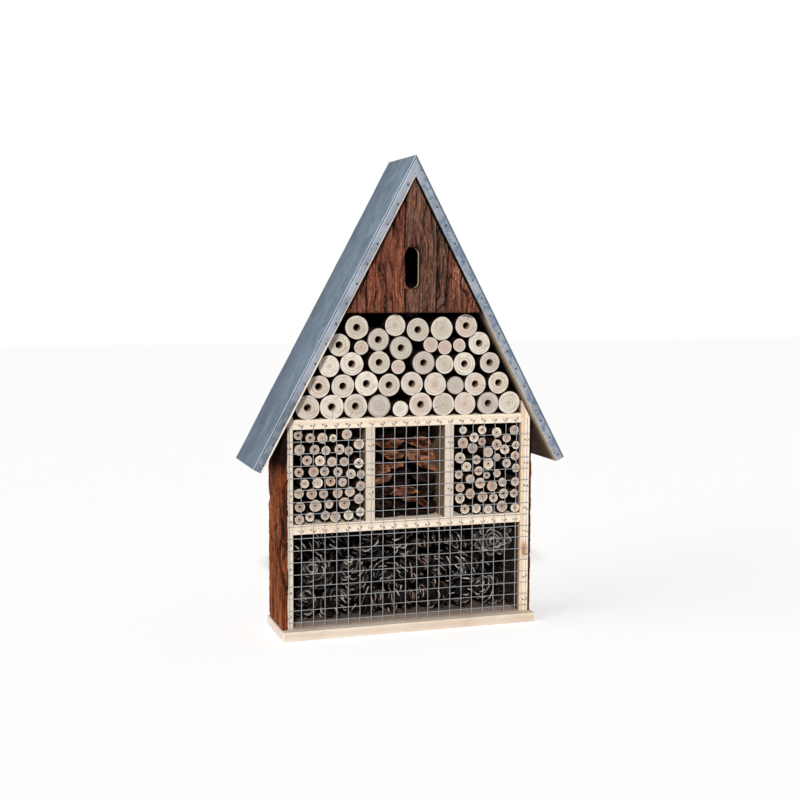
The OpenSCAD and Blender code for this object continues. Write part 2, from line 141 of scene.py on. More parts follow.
class Build:
    """The points, faces and per-point values of one piece. A value is a number, or three numbers."""

    def __init__(self, **values):
        self.points = []
        self.faces = []
        self.slots = []
        self.default = values
        self.values = {k: [] for k in values}

    def add(self, points, faces, slot=0, **values):
        start = len(self.points)
        self.points.extend(points)
        self.faces.extend([tuple(start + i for i in f) for f in faces])
        self.slots.extend([slot] * len(faces) if isinstance(slot, int) else slot)
        for name, store in self.values.items():
            v = values.get(name, self.default[name])
            store.extend(v if isinstance(v, list) else [v] * len(points))

    def piece(self, name, materials, nodes=(), angle=35):
        mesh = bpy.data.meshes.new(name)
        mesh.from_pydata([tuple(p) for p in self.points], [], self.faces)
        for m in materials:
            mesh.materials.append(m)
        mesh.polygons.foreach_set("material_index", self.slots)
        for key, store in self.values.items():
            if isinstance(self.default[key], tuple):
                layer = mesh.attributes.new(key, "FLOAT_VECTOR", "POINT")
                layer.data.foreach_set("vector", np.array(store, np.float32).reshape(-1))
            else:
                layer = mesh.attributes.new(key, "FLOAT", "POINT")
                layer.data.foreach_set("value", np.array(store, np.float32))
        shape = bmesh.new()
        shape.from_mesh(mesh)
        bmesh.ops.recalc_face_normals(shape, faces=shape.faces)
        shape.to_mesh(mesh)
        shape.free()
        mesh.polygons.foreach_set("use_smooth", [True] * len(mesh.polygons))
        mesh.set_sharp_from_angle(angle=math.radians(angle))
        mesh.update()
        ob = bpy.data.objects.new(name, mesh)
        bpy.context.scene.collection.objects.link(ob)
        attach(ob, "root")
        if nodes:
            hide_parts(*nodes)
        return ob


def ring_faces(rings, sides):
    """Quads between closed rings of points that are listed one ring after another."""
    faces = []
    for r in range(rings - 1):
        for i in range(sides):
            j = (i + 1) % sides
            faces.append((r * sides + i, r * sides + j, (r + 1) * sides + j, (r + 1) * sides + i))
    return faces


def cap(ring, sides):
    return tuple(ring * sides + i for i in range(sides))


def closed_rings(rings, sides):
    """The faces of a stack of rings, with a cap at each end."""
    return ring_faces(rings, sides) + [cap(0, sides), cap(rings - 1, sides)]


def shell_faces(rows, cols):
    """A closed sheet: a grid of outer points, the same grid of inner points, and walls round the edges."""
    n = rows * cols
    faces = []
    for r in range(rows - 1):
        for c in range(cols - 1):
            a = r * cols + c
            quad = (a, a + 1, a + cols + 1, a + cols)
            faces.append(quad)
            faces.append(tuple(n + i for i in reversed(quad)))
    edge = [c for c in range(cols)]
    edge += [r * cols + cols - 1 for r in range(1, rows)]
    edge += [(rows - 1) * cols + c for c in range(cols - 2, -1, -1)]
    edge += [r * cols for r in range(rows - 2, 0, -1)]
    for a, b in zip(edge, edge[1:] + edge[:1]):
        faces.append((a, n + a, n + b, b))
    return faces


def tube(build, path, radius, sides=8, slot=0, **values):
    """A closed round tube along path. radius is a number or a function of the point's number."""
    n = len(path)
    points = []
    side = None
    for k, p in enumerate(path):
        ahead = (path[min(k + 1, n - 1)] - path[max(k - 1, 0)]).normalized()
        if side is None:
            side = ahead.orthogonal().normalized()
        side = (side - ahead * side.dot(ahead)).normalized()
        up = ahead.cross(side)
        r = radius(k) if callable(radius) else radius
        for i in range(sides):
            a = TAU * i / sides
            points.append(p + r * (math.cos(a) * side + math.sin(a) * up))
    build.add(points, ring_faces(n, sides) + [cap(0, sides), cap(n - 1, sides)], slot, **values)


# ---- node materials ----


class Look:
    """A node material, with short names for the nodes that it is made of. Lengths are in millimetres."""

    def __init__(self, name):
        self.material = bpy.data.materials.new(name)
        self.material.use_nodes = True
        self.tree = self.material.node_tree
        self.tree.nodes.clear()
        self.out = self.node("ShaderNodeOutputMaterial")

    def node(self, kind, **props):
        n = self.tree.nodes.new(kind)
        for k, v in props.items():
            setattr(n, k, v)
        return n

    def put(self, socket, value):
        if isinstance(value, bpy.types.NodeSocket):
            self.tree.links.new(value, socket)
        elif isinstance(value, tuple) and len(value) == 3 and socket.type == "RGBA":
            socket.default_value = (*value, 1)
        else:
            socket.default_value = value

    def place(self, scale=(1, 1, 1), turn=(0, 0, 0), shift=(0, 0, 0)):
        """The frame's coordinates in millimetres, turned, scaled and then shifted."""
        n = self.node("ShaderNodeMapping")
        self.put(n.inputs["Vector"], self.node("ShaderNodeTexCoord").outputs["Object"])
        n.inputs["Rotation"].default_value = turn
        n.inputs["Location"].default_value = shift
        n.inputs["Scale"].default_value = [s / MM for s in scale]
        return n.outputs[0]

    def stretch(self, vector, scale, shift=(0, 0, 0)):
        n = self.node("ShaderNodeMapping")
        self.put(n.inputs["Vector"], vector)
        n.inputs["Scale"].default_value = scale
        n.inputs["Location"].default_value = shift
        return n.outputs[0]

    def value(self, name):
        return self.node("ShaderNodeAttribute", attribute_name=name).outputs["Fac"]

    def vector(self, name):
        return self.node("ShaderNodeAttribute", attribute_name=name).outputs["Vector"]

    def noise(self, at, scale=1.0, detail=4.0, rough=0.55, warp=0.0):
        n = self.node("ShaderNodeTexNoise")
        self.put(n.inputs["Vector"], at)
        for k, v in (("Scale", scale), ("Detail", detail), ("Roughness", rough), ("Distortion", warp)):
            n.inputs[k].default_value = v
        return n.outputs["Fac"]

    def cells(self, at, scale=1.0, feature="F1", output="Distance"):
        n = self.node("ShaderNodeTexVoronoi", feature=feature)
        self.put(n.inputs["Vector"], at)
        n.inputs["Scale"].default_value = scale
        return n.outputs[output]

    def maths(self, operation, a, b=0.0):
        n = self.node("ShaderNodeMath", operation=operation)
        self.put(n.inputs[0], a)
        self.put(n.inputs[1], b)
        return n.outputs[0]

    def sum(self, a, b):
        return self.maths("ADD", a, b)

    def times(self, a, b):
        return self.maths("MULTIPLY", a, b)

    def length(self, vector):
        n = self.node("ShaderNodeVectorMath", operation="LENGTH")
        self.put(n.inputs[0], vector)
        return n.outputs["Value"]

    def parts(self, vector):
        n = self.node("ShaderNodeSeparateXYZ")
        self.put(n.inputs[0], vector)
        return n.outputs

    def span(self, value, low_in, high_in, low_out=0.0, high_out=1.0):
        """value moved from one range to another and held inside it."""
        n = self.node("ShaderNodeMapRange")
        self.put(n.inputs["Value"], value)
        for k, v in (("From Min", low_in), ("From Max", high_in), ("To Min", low_out), ("To Max", high_out)):
            n.inputs[k].default_value = v
        return n.outputs[0]

    def ramp(self, value, *stops):
        """Colours by value: each stop is (place, colour)."""
        n = self.node("ShaderNodeValToRGB")
        self.put(n.inputs[0], value)
        while len(n.color_ramp.elements) < len(stops):
            n.color_ramp.elements.new(0.5)
        for e, (at, colour) in zip(n.color_ramp.elements, stops):
            e.position = at
            e.color = (*colour, 1)
        return n.outputs[0]

    def mix(self, share, a, b, how="MIX"):
        """Colour a, moved towards b by share."""
        n = self.node("ShaderNodeMix", data_type="RGBA", blend_type=how)
        colours = [s for s in n.inputs if s.type == "RGBA"]
        self.put(n.inputs[0], share)
        self.put(colours[0], a)
        self.put(colours[1], b)
        return [s for s in n.outputs if s.type == "RGBA"][0]

    def tint(self, base, colour, share, *edges):
        """base moved towards colour past every edge.
        An edge is (axis, where the change starts, where it is complete)."""
        where = self.parts(self.place())
        for axis, start, end in edges:
            share = self.times(self.span(where[axis], start, end), share)
        return self.mix(share, base, colour)

    def bump(self, height, distance, edge=0.0):
        """Relief from height. edge is the radius by which sharp edges are softened."""
        n = self.node("ShaderNodeBump")
        self.put(n.inputs["Height"], height)
        n.inputs["Distance"].default_value = distance * MM
        if edge:
            bevel = self.node("ShaderNodeBevel", samples=4)
            bevel.inputs["Radius"].default_value = edge * MM
            self.put(n.inputs["Normal"], bevel.outputs[0])
        return n.outputs[0]

    def surface(self, colour, rough, normal=None, metal=0.0, gloss=0.5):
        n = self.node("ShaderNodeBsdfPrincipled")
        self.put(n.inputs["Base Color"], colour)
        self.put(n.inputs["Roughness"], rough)
        n.inputs["Metallic"].default_value = metal
        n.inputs["Specular IOR Level"].default_value = gloss
        if normal is not None:
            self.put(n.inputs["Normal"], normal)
        self.tree.links.new(n.outputs[0], self.out.inputs[0])
        return self.material


# ---- materials ----


def pine(name, grain, pith, light, deep, specks=False, tints=(), gloss=0.3):
    """Planed pine. grain is the scale of the pattern along X, Y and Z; pith is the centre of its rings."""
    k = Look(name)
    at = k.place(scale=grain, shift=[-p * g for p, g in zip(pith, grain)])
    wide = k.noise(at, scale=0.03, detail=2)
    rings = k.sum(k.length(at), k.times(wide, 14))
    line = k.maths("SINE", k.times(rings, TAU / 5.2))
    colour = k.mix(k.span(line, -0.2, 1.0, 0.0, 0.75), light, deep)
    fine = k.noise(k.stretch(at, (1, 1, 1)), scale=1.6, detail=5, rough=0.7)
    for tint in tints:
        colour = k.tint(colour, *tint)
    colour = k.mix(k.span(fine, 0.35, 0.75, 0.0, 0.35), colour, (0.60, 0.52, 0.44), how="MULTIPLY")
    stain = k.noise(k.place(shift=(7, 3, 9)), scale=0.02, detail=5, rough=0.6)
    colour = k.mix(k.span(stain, 0.50, 0.72, 0.0, 0.5), colour, (0.78, 0.66, 0.54), how="MULTIPLY")
    knot_at = k.place(scale=[0.35 + 0.65 * min(1, g * 2) for g in grain])
    knot = k.cells(knot_at, scale=0.017)
    colour = k.mix(k.span(knot, 0.035, 0.09, 0.85, 0.0), colour, (0.22, 0.09, 0.03))
    if specks:
        spot = k.cells(k.place(scale=(1, 0.05, 1)), scale=0.42)
        colour = k.mix(k.span(spot, 0.16, 0.26, 0.55, 0.0), colour, (0.17, 0.12, 0.08))
    normal = k.bump(k.sum(fine, k.times(line, 0.15)), 0.18, edge=0.8)
    return k.surface(colour, 0.62, normal, gloss=gloss)


def plywood():
    """The back panel: pale plywood outside, and black in the rooms, where no light comes."""
    k = Look("plywood")
    at = k.place(scale=(0.06, 1, 0.9))
    grain = k.noise(at, scale=0.5, detail=6, rough=0.65, warp=0.6)
    figure = k.noise(k.place(scale=(0.02, 1, 0.14)), scale=0.35, detail=3, warp=1.5)
    colour = k.ramp(grain, (0.3, (0.36, 0.24, 0.13)), (0.5, (0.55, 0.40, 0.24)), (0.75, (0.66, 0.51, 0.33)))
    colour = k.mix(k.span(figure, 0.45, 0.6, 0.0, 0.35), colour, (0.38, 0.24, 0.12))
    colour = k.tint(colour, (0.003, 0.002, 0.002), 1.0, (1, BACK_MM + 1.5, BACK_MM + 0.5))
    return k.surface(colour, 0.7, k.bump(grain, 0.15, edge=0.4), gloss=0.05)


def zinc(name, dull, pale, mottle):
    """Weathered zinc sheet. mottle is how strong the pale spangle is.
    The bead's light mark is 1 on the bead, where a highlight is painted, and -1 in the joint behind it, where
    shade is painted."""
    k = Look(name)
    smudge = k.noise(k.place(), scale=0.045, detail=5, rough=0.62, warp=0.8)
    cloud = k.noise(k.place(shift=(4, 8, 2)), scale=0.11, detail=5, rough=0.65, warp=0.5)
    spangle = k.cells(k.place(), scale=0.9, output="Color")
    grey = k.parts(spangle)[0]
    fine = k.noise(k.place(), scale=0.7, detail=5, rough=0.8)
    colour = k.mix(k.span(smudge, 0.35, 0.68, 0.0, 0.8), dull, pale)
    colour = k.mix(k.times(grey, mottle), colour, pale)
    right = k.span(k.parts(k.place())[0], 1, 6)
    streak = k.noise(k.place(scale=(0.12, 1, 0.12), shift=(2, 6, 4)), scale=0.22, detail=5, rough=0.65)
    colour = k.mix(k.span(streak, 0.50, 0.66, 0.0, 0.45), colour, pale)
    colour = k.mix(k.span(streak, 0.34, 0.46, 0.45, 0.0), colour, tuple(0.45 * c for c in dull))
    colour = k.tint(colour, tuple(0.55 * c for c in dull), 0.5, (1, -10, ROOF_BACK / MM))
    patch = k.times(k.span(cloud, 0.48, 0.57), k.times(right, 1.25 * mottle))
    colour = k.mix(patch, colour, (0.065, 0.105, 0.165))
    near_eave = k.span(k.parts(k.place())[2], EAVE_MM + 100, EAVE_MM + 60)
    grime = k.times(near_eave, k.span(cloud, 0.40, 0.52, 0.55, 1.0))
    grime = k.times(grime, k.span(right, 1, 0, 0, min(1.0, 1.5 * mottle)))
    colour = k.mix(grime, colour, (0.055, 0.072, 0.10))
    colour = k.mix(k.span(fine, 0.54, 0.80, 0.0, 0.6), colour, tuple(1.5 * c for c in pale))
    colour = k.mix(k.span(fine, 0.30, 0.44, 0.45, 0.0), colour, (0.05, 0.07, 0.10))
    worn = k.value("worn")
    # A painted highlight along the bead, and painted shade in the joint behind it.
    colour = k.mix(k.span(worn, 0.2, 0.9, 0.0, 0.8), colour, (0.42, 0.47, 0.52))
    colour = k.mix(k.span(worn, -0.9, -0.2, 0.9, 0.0), colour, (0.03, 0.042, 0.055))
    rough = k.span(k.sum(smudge, k.times(fine, 0.3)), 0.3, 1.0, 0.42, 0.62)
    return k.surface(colour, rough, k.bump(k.sum(smudge, k.times(fine, 0.15)), 0.4), metal=0.25, gloss=0.4)


def bark(name, red, grey, tints=()):
    """Bark plates. 'high' is the height of the relief and 'kind' shifts the colour from strip to strip."""
    k = Look(name)
    high_ = k.value("high")
    kind = k.value("kind")
    fibre = k.noise(k.place(scale=(1, 1, 0.045)), scale=0.75, detail=6, rough=0.72, warp=0.25)
    patch = k.noise(k.place(shift=(3, 5, 1), scale=(1, 1, 0.35)), scale=0.10, detail=4, rough=0.6)
    crumb = k.noise(k.place(scale=(1, 1, 0.4)), scale=1.2, detail=5, rough=0.75)
    level = k.sum(k.times(high_, 0.55), k.sum(k.times(fibre, 0.85), k.times(crumb, 0.22)))
    level = k.sum(level, k.times(k.sum(patch, -0.5), 0.55))
    places = (0.52, 0.74, 0.92, 1.0)
    warm = k.ramp(k.times(level, 0.85), *zip(places, red))
    cool = k.ramp(k.times(level, 0.85), *zip(places, grey))
    share = k.maths("ADD", kind, k.span(patch, 0.52, 0.62, 0.0, 0.5))
    share.node.use_clamp = True
    colour = k.mix(share, warm, cool)
    # Painted shade: the low places of the relief, the grooves and a strip's rounded edges, are darkened to
    # near-black.
    colour = k.mix(k.span(high_, 0.03, 0.30, 0.93, 0.0), colour, (0.010, 0.006, 0.005))
    split = k.noise(k.place(scale=(1, 1, 0.03), shift=(5, 2, 7)), scale=0.30, detail=3)
    split = k.maths("ABSOLUTE", k.sum(split, -0.5))
    colour = k.mix(k.span(split, 0.004, 0.020, 0.8, 0.0), colour, (0.016, 0.008, 0.006))
    for tint in tints:
        colour = k.tint(colour, *tint)
    normal = k.bump(k.sum(fibre, k.times(crumb, 0.6)), 1.3)
    return k.surface(colour, 0.85, normal, gloss=0.06)


def cut_wood(name, ring_mm, band, sap, heart, dark):
    """Sawn cross-cut of round wood. 'at' is the place on the cut, 'rim' runs from pith to bark and 'check'
    is a split. ring_mm is the width of a growth ring, and band how many broader bands there are."""
    k = Look(name)
    at = k.vector("at")
    kind = k.value("kind")
    rim = k.value("rim")
    split = k.parts(k.vector("check"))
    seed = k.stretch(at, (1, 1, 1))
    wobble = k.noise(seed, scale=0.13, detail=3, rough=0.5)
    radius = k.sum(k.length(k.stretch(at, (1, 0, 1))), k.times(wobble, 2.2))
    ring = k.maths("SINE", k.times(radius, TAU / ring_mm))
    own = k.node("ShaderNodeCombineXYZ")
    k.put(own.inputs[0], k.times(k.sum(rim, k.times(wobble, 0.25)), band))
    k.put(own.inputs[1], k.times(kind, 90))
    bands = k.noise(own.outputs[0], scale=1.0, detail=2, rough=0.6)
    centre = k.span(k.sum(rim, k.times(k.sum(wobble, -0.5), 0.5)), 0.42, 0.72, 1, 0)
    colour = k.mix(centre, k.ramp(kind, *sap), k.ramp(kind, *heart))
    colour = k.mix(k.times(k.span(ring, -0.1, 1.0, 0.0, 0.7), k.span(bands, 0.35, 0.6)), colour, dark)
    colour = k.mix(k.span(bands, 0.50, 0.66, 0.0, 0.5), colour, dark)
    colour = k.mix(k.span(rim, 0.10, 0.0, 0.0, 0.5), colour, dark)
    saw = k.noise(k.stretch(at, (0.30, 1, 1.7)), scale=1.5, detail=5, rough=0.7)
    colour = k.mix(k.span(saw, 0.38, 0.68, 0.0, 0.60), colour, (0.25, 0.215, 0.19))
    blotch_at = k.stretch(at, (1, 1, 1), shift=(3, 1, 8))
    blotch = k.noise(blotch_at, scale=1.26 / ring_mm ** 2, detail=4, rough=0.65)
    colour = k.mix(k.span(blotch, 0.50, 0.66, 0.0, 0.65), colour, (0.27, 0.225, 0.195))
    colour = k.mix(k.span(rim, 0.80, 0.93, 0.0, 0.55), colour, (0.54, 0.50, 0.44))
    grimy = k.times(k.span(kind, 0.42, 0.46), k.span(kind, 0.60, 0.56))
    colour = k.mix(k.times(k.span(rim, 0.80, 0.92, 0.0, 0.75), grimy), colour, (0.17, 0.145, 0.13))
    colour = k.mix(k.span(rim, 0.945, 0.99, 0.0, 0.85), colour, (0.13, 0.08, 0.05))
    # Down a bore the wood is painted brown just inside the mouth, then near-black deeper in as painted shade
    # in the hole.
    depth = k.parts(at)[1]
    colour = k.mix(k.span(depth, 0.3, 2.0, 0.0, 0.7), colour, (0.26, 0.15, 0.07))
    colour = k.mix(k.span(depth, 3.0, 14.0, 0.0, 0.97), colour, (0.012, 0.008, 0.005))
    across = k.maths("ABSOLUTE", k.sum(split[1], k.times(k.sum(wobble, -0.5), 1.6)))
    width = k.span(split[0], 0.5, 11.0, 0.04, 0.42)
    gap = k.span(k.maths("SUBTRACT", across, width), -0.10, 0.06, 0.9, 0.0)
    gap = k.times(gap, k.maths("GREATER_THAN", split[0], 0.3))
    colour = k.mix(k.times(gap, split[2]), colour, (0.03, 0.02, 0.014))
    normal = k.bump(k.sum(k.times(saw, 0.8), k.times(ring, 0.18)), 0.35)
    return k.surface(colour, 0.78, normal, gloss=0.2)


def stick_skin(name, light, dark, scale):
    k = Look(name)
    streak = k.noise(k.place(scale=(1, 0.15, 1)), scale=scale, detail=5, rough=0.65)
    colour = k.ramp(streak, (0.35, dark), (0.7, light))
    return k.surface(colour, 0.75, k.bump(streak, 0.5), gloss=0.05)


def cone_scale():
    """Pine cone scales: 'edge' runs from the root of a scale to its lip. Towards the roots the scales are
    painted near-black, as painted shade between them.
    """
    k = Look("cone_scale")
    edge = k.value("edge")
    kind = k.value("kind")
    speck = k.noise(k.place(), scale=0.9, detail=5, rough=0.7)
    level = k.sum(edge, k.times(k.sum(speck, -0.5), 0.6))
    colour = k.ramp(level, (0.45, (0.003, 0.002, 0.002)), (0.76, (0.010, 0.008, 0.007)),
                    (0.90, (0.075, 0.066, 0.060)), (1.0, (0.34, 0.305, 0.28)))
    colour = k.mix(k.times(kind, 0.9), colour, (1.0, 0.80, 0.72), how="MULTIPLY")
    # More painted shade towards the scales' roots.
    colour = k.mix(k.span(edge, 0.4, 0.85, 0.9, 0.0), colour, (0.006, 0.005, 0.004))
    return k.surface(colour, 0.7, k.bump(speck, 0.4), gloss=0.06)


def chip_bark():
    """Loose bark: layers of dark and orange cork seen on the broken ends. kind moves a chip towards
    near-black, as painted shade.
    """
    k = Look("chip_bark")
    at = k.vector("at")
    kind = k.value("kind")
    layer = k.noise(k.stretch(at, (0.16, 0.1, 1.3)), scale=0.75, detail=5, rough=0.65, warp=0.5)
    crumb = k.noise(at, scale=0.9, detail=5, rough=0.75)
    level = k.sum(k.times(layer, 0.75), k.times(crumb, 0.35))
    facet = k.noise(k.stretch(at, (0.10, 0.05, 0.22), shift=(0, 0, 4)), scale=1.0, detail=2, rough=0.5)
    level = k.sum(level, k.times(k.sum(facet, -0.5), 0.85))
    level = k.sum(level, k.span(k.value("rim"), 0.78, 1.0, 0.0, 0.16))
    warm = k.ramp(level, (0.42, (0.006, 0.002, 0.001)), (0.54, (0.050, 0.015, 0.007)),
                  (0.68, (0.20, 0.062, 0.022)), (0.84, (0.52, 0.22, 0.085)))
    shaded_bark = k.ramp(level, (0.40, (0.002, 0.001, 0.001)), (0.60, (0.007, 0.003, 0.002)),
                  (0.90, (0.045, 0.022, 0.014)))
    skin = k.noise(k.stretch(at, (0.07, 0.05, 0.15), shift=(9, 2, 6)), scale=1.0, detail=1)
    skin_tone = k.ramp(level, (0.35, (0.020, 0.008, 0.005)), (0.7, (0.19, 0.095, 0.068)))
    warm = k.mix(k.span(skin, 0.50, 0.54, 0.0, 0.7), warm, skin_tone)
    # kind mixes in the near-black painted shade.
    colour = k.mix(kind, warm, shaded_bark)
    return k.surface(colour, 0.86, k.bump(level, 1.1), gloss=0.05)


def steel(name, tone, rough, metal=0.8):
    k = Look(name)
    cloud = k.noise(k.place(), scale=0.5, detail=4, rough=0.65)
    dark = tuple(0.45 * c for c in tone)
    colour = k.mix(k.span(cloud, 0.4, 0.7, 0.0, 0.8), tone, dark)
    dullness = k.span(cloud, 0.3, 0.7, rough - 0.08, rough + 0.12)
    return k.surface(colour, dullness, k.bump(cloud, 0.15), metal=metal)


CREAM = (0.56, 0.495, 0.415)
# Dark pine for the dividers inside the rooms: painted shade.
SHADED_PINE = (0.17, 0.125, 0.080)
SHADE = (0.095, 0.058, 0.034)

ALONG_X = (0.05, 1, 1)
ALONG_Z = (1, 1, 0.05)
PINE_RAIL = pine("pine_rail", ALONG_X, (0, -10, 190), CREAM, (0.48, 0.40, 0.31), specks=True)
BETWEEN_SIDES = (0, -SIDE_MM, -SIDE_MM + 2)
# Painted light and shade: the base's left end is painted paler, and its top between the sides darker, the
# more so towards the back.
PINE_BASE = pine(
    "pine_base", ALONG_X, (0, 20, -22), (0.48, 0.425, 0.37), (0.42, 0.345, 0.28),
    tints=[((0.66, 0.575, 0.52), 0.95, (0, -SIDE_MM - 2.5, -SIDE_MM - 3.2)),
           ((0.33, 0.27, 0.23), 0.85, (1, FRONT_MM - 0.3, FRONT_MM + 1), BETWEEN_SIDES),
           ((0.055, 0.042, 0.033), 0.9, (1, FRONT_MM + 3, FRONT_MM + 34), BETWEEN_SIDES)],
    gloss=0.1)
# The posts' faces are painted darker the deeper they reach into the rooms, down to near-black: painted shade.
PINE_POST = pine(
    "pine_post", ALONG_Z, (168, 12, 0), (0.47, 0.425, 0.365), (0.38, 0.32, 0.25), specks=True,
    tints=[((0.64, 0.57, 0.49), 0.75, (0, SIDE_MM - 6, SIDE_MM - 5)),
           ((0.52, 0.37, 0.25), 0.65, (0, 100, 110), (0, SIDE_MM - 5, SIDE_MM - 6)),
           ((0.075, 0.034, 0.013), 0.95, (1, FRONT_MM + 3, FRONT_MM + 6)),
           ((0.009, 0.005, 0.003), 0.95, (1, FRONT_MM + 6, FRONT_MM + 14))])
# The dividers are painted this dark pine inside the rooms as painted shade, and cream only on their front
# faces.
PINE_WALL = pine(
    "pine_wall", ALONG_Z, (20, 30, 0), SHADED_PINE, (0.13, 0.09, 0.055),
    tints=[((0.48, 0.43, 0.375), 0.85, (1, FRONT_MM + 0.8, FRONT_MM + 0.3))],
    gloss=0.1)
BEFORE_BACK = (1, BACK_MM + 5, BACK_MM + 3)
# Painted shade on the roof boards: grey-tan on the right board's front part, dark brown behind the front
# edges, and near-black over the log room and beside the gable.
PINE_ROOF = pine(
    "pine_roof", (0.3, 1, 0.3), (0, -60, 500), (0.57, 0.53, 0.46), (0.49, 0.44, 0.37),
    tints=[((0.35, 0.29, 0.225), 0.85, (0, 8, 14), (1, 0, -10)),
           (SHADE, 0.97, (1, ROOF_FRONT_MM + 5, ROOF_FRONT_MM + 11), BEFORE_BACK),
           ((0.006, 0.005, 0.004), 0.98, (1, FRONT_MM - 1, FRONT_MM + 2), (2, LOG_FLOOR_MM, LOG_FLOOR_MM + 5),
            BEFORE_BACK),
           ((0.014, 0.009, 0.007), 0.96, (1, ROOF_FRONT_MM + 0.5, ROOF_FRONT_MM + 1.5),
            (2, GABLE_LOW / MM - 12, GABLE_LOW / MM), BEFORE_BACK)],
    gloss=0.05)
SLOT_MID = 387
SLOT_REACH = 14
SLOT_RADIUS = 7.8
SLOT_END = SLOT_REACH + SLOT_RADIUS
# The gable board is painted near-black as painted shade, and black inside the entry slot; only its front face
# at the slot's right shows tan pine.
PINE_GABLE = pine(
    "pine_gable", ALONG_Z, (20, 30, 0), (0.030, 0.018, 0.012), (0.018, 0.010, 0.007),
    tints=[((0.27, 0.21, 0.13), 0.95, (1, FRONT_MM + 0.8, FRONT_MM + 0.4), (0, 2, 4), (0, 11, 10),
            (2, SLOT_MID - SLOT_END - 2, SLOT_MID - SLOT_END - 1),
            (2, SLOT_MID + SLOT_END + 2, SLOT_MID + SLOT_END + 1)),
           ((0.002, 0.002, 0.001), 1.0, (1, FRONT_MM + 0.6, FRONT_MM + 1.0))],
    gloss=0.0)
PLYWOOD = plywood()
ZINC_TOP = zinc("zinc_top", (0.100, 0.140, 0.190), (0.195, 0.250, 0.315), 0.12)
ZINC_EDGE = zinc("zinc_edge", (0.145, 0.168, 0.205), (0.245, 0.270, 0.315), 0.6)
UNDER_EAVE = EAVE_MM + 1
BARK_GABLE = bark(
    "bark_gable",
    [(0.021, 0.009, 0.006), (0.165, 0.053, 0.031), (0.32, 0.113, 0.067), (0.50, 0.30, 0.23)],
    [(0.010, 0.006, 0.005), (0.075, 0.039, 0.027), (0.180, 0.096, 0.068), (0.36, 0.25, 0.19)])
# The side bark's top is painted near-black just under the eave, as the eave's painted shadow.
BARK_SIDE = bark(
    "bark_side",
    [(0.036, 0.009, 0.003), (0.20, 0.047, 0.012), (0.385, 0.112, 0.036), (0.55, 0.25, 0.12)],
    [(0.024, 0.011, 0.006), (0.125, 0.052, 0.027), (0.23, 0.115, 0.068), (0.38, 0.25, 0.175)],
    tints=[((0.007, 0.002, 0.001), 0.97, (2, UNDER_EAVE - 12, UNDER_EAVE + 2))])
LOG_CUT = cut_wood(
    "log_cut", 2.9, 7.0,
    [(0.0, (0.58, 0.55, 0.50)), (0.3, (0.44, 0.41, 0.35)), (0.55, (0.38, 0.365, 0.35)),
     (0.75, (0.50, 0.45, 0.405)), (1.0, (0.27, 0.175, 0.155))],
    [(0.0, (0.56, 0.52, 0.45)), (0.3, (0.39, 0.35, 0.265)), (0.55, (0.33, 0.30, 0.27)),
     (0.75, (0.48, 0.39, 0.325)), (1.0, (0.27, 0.155, 0.135))],
    (0.22, 0.185, 0.155))
# The logs' sides are painted near-black, as painted shade in the gaps between them.
LOG_SKIN_SHADE = stick_skin("log_skin_shade", (0.016, 0.009, 0.006), (0.003, 0.002, 0.002), 0.7)
CANE_CUT = cut_wood(
    "cane_cut", 1.9, 4.0,
    [(0.0, (0.70, 0.63, 0.54)), (0.2, (0.58, 0.53, 0.42)), (0.4, (0.44, 0.40, 0.36)),
     (0.6, (0.52, 0.42, 0.35)), (0.8, (0.34, 0.285, 0.25)), (1.0, (0.42, 0.26, 0.16))],
    [(0.0, (0.44, 0.36, 0.29)), (0.2, (0.36, 0.30, 0.22)), (0.4, (0.27, 0.23, 0.20)),
     (0.6, (0.34, 0.235, 0.18)), (0.8, (0.24, 0.175, 0.145)), (1.0, (0.30, 0.155, 0.085))],
    (0.21, 0.155, 0.125))
# The canes' sides are painted near-black, as painted shade in the gaps between them.
CANE_SKIN_SHADE = stick_skin("cane_skin", (0.030, 0.017, 0.010), (0.005, 0.003, 0.002), 0.9)
CONE = cone_scale()
CHIP = chip_bark()
WIRE = steel("mesh_wire", (0.43, 0.445, 0.47), 0.42)
STAPLE = steel("staple_steel", (0.42, 0.40, 0.37), 0.45)
PIT = stick_skin("staple_pit", (0.10, 0.07, 0.05), (0.02, 0.014, 0.01), 1.5)
NAIL = steel("nail_steel", (0.045, 0.055, 0.075), 0.5, metal=0.3)
BRIGHT_NAIL = steel("bright_nail", (0.55, 0.57, 0.60), 0.35)
HANGER = steel("hanger_steel", (0.60, 0.62, 0.66), 0.3)

CAD_LOOKS = {
    "base_board": PINE_BASE,
    "left_side_board": PINE_POST,
    "right_side_board": PINE_POST,
    "left_divider": PINE_WALL,
    "right_divider": PINE_WALL,
    "lower_shelf": PINE_RAIL,
    "upper_shelf": PINE_RAIL,
    "back_panel": PLYWOOD,
    "gable_board": PINE_GABLE,
    "left_roof_board": PINE_ROOF,
    "right_roof_board": PINE_ROOF,
    "frame_nails": BRIGHT_NAIL,
    "roof_nails": BRIGHT_NAIL,
    "back_panel_nails": BRIGHT_NAIL,
    "hanger_plate": HANGER,
}


def dress_cad():
    for node, material in CAD_LOOKS.items():
        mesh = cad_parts[node].data
        mesh.materials.clear()
        mesh.materials.append(material)


# ---- roof ----


def slope_grid(side, rows, profile, shape):
    """Points down one slope for a profile of (y, inset). shape(run, y) moves them inwards.
    Row 0 is on the ridge's plumb line."""
    grid = []
    for r in range(rows):
        for y, inset in profile:
            first = inset * math.tan(ROOF_PITCH)
            run = first + (SLOPE_LEN - first) * r / (rows - 1)
            grid.append(slope_point(side, run, inset + (shape(run, y) if r else 0), y))
            if r == 0:
                grid[-1].x = 0
    return grid


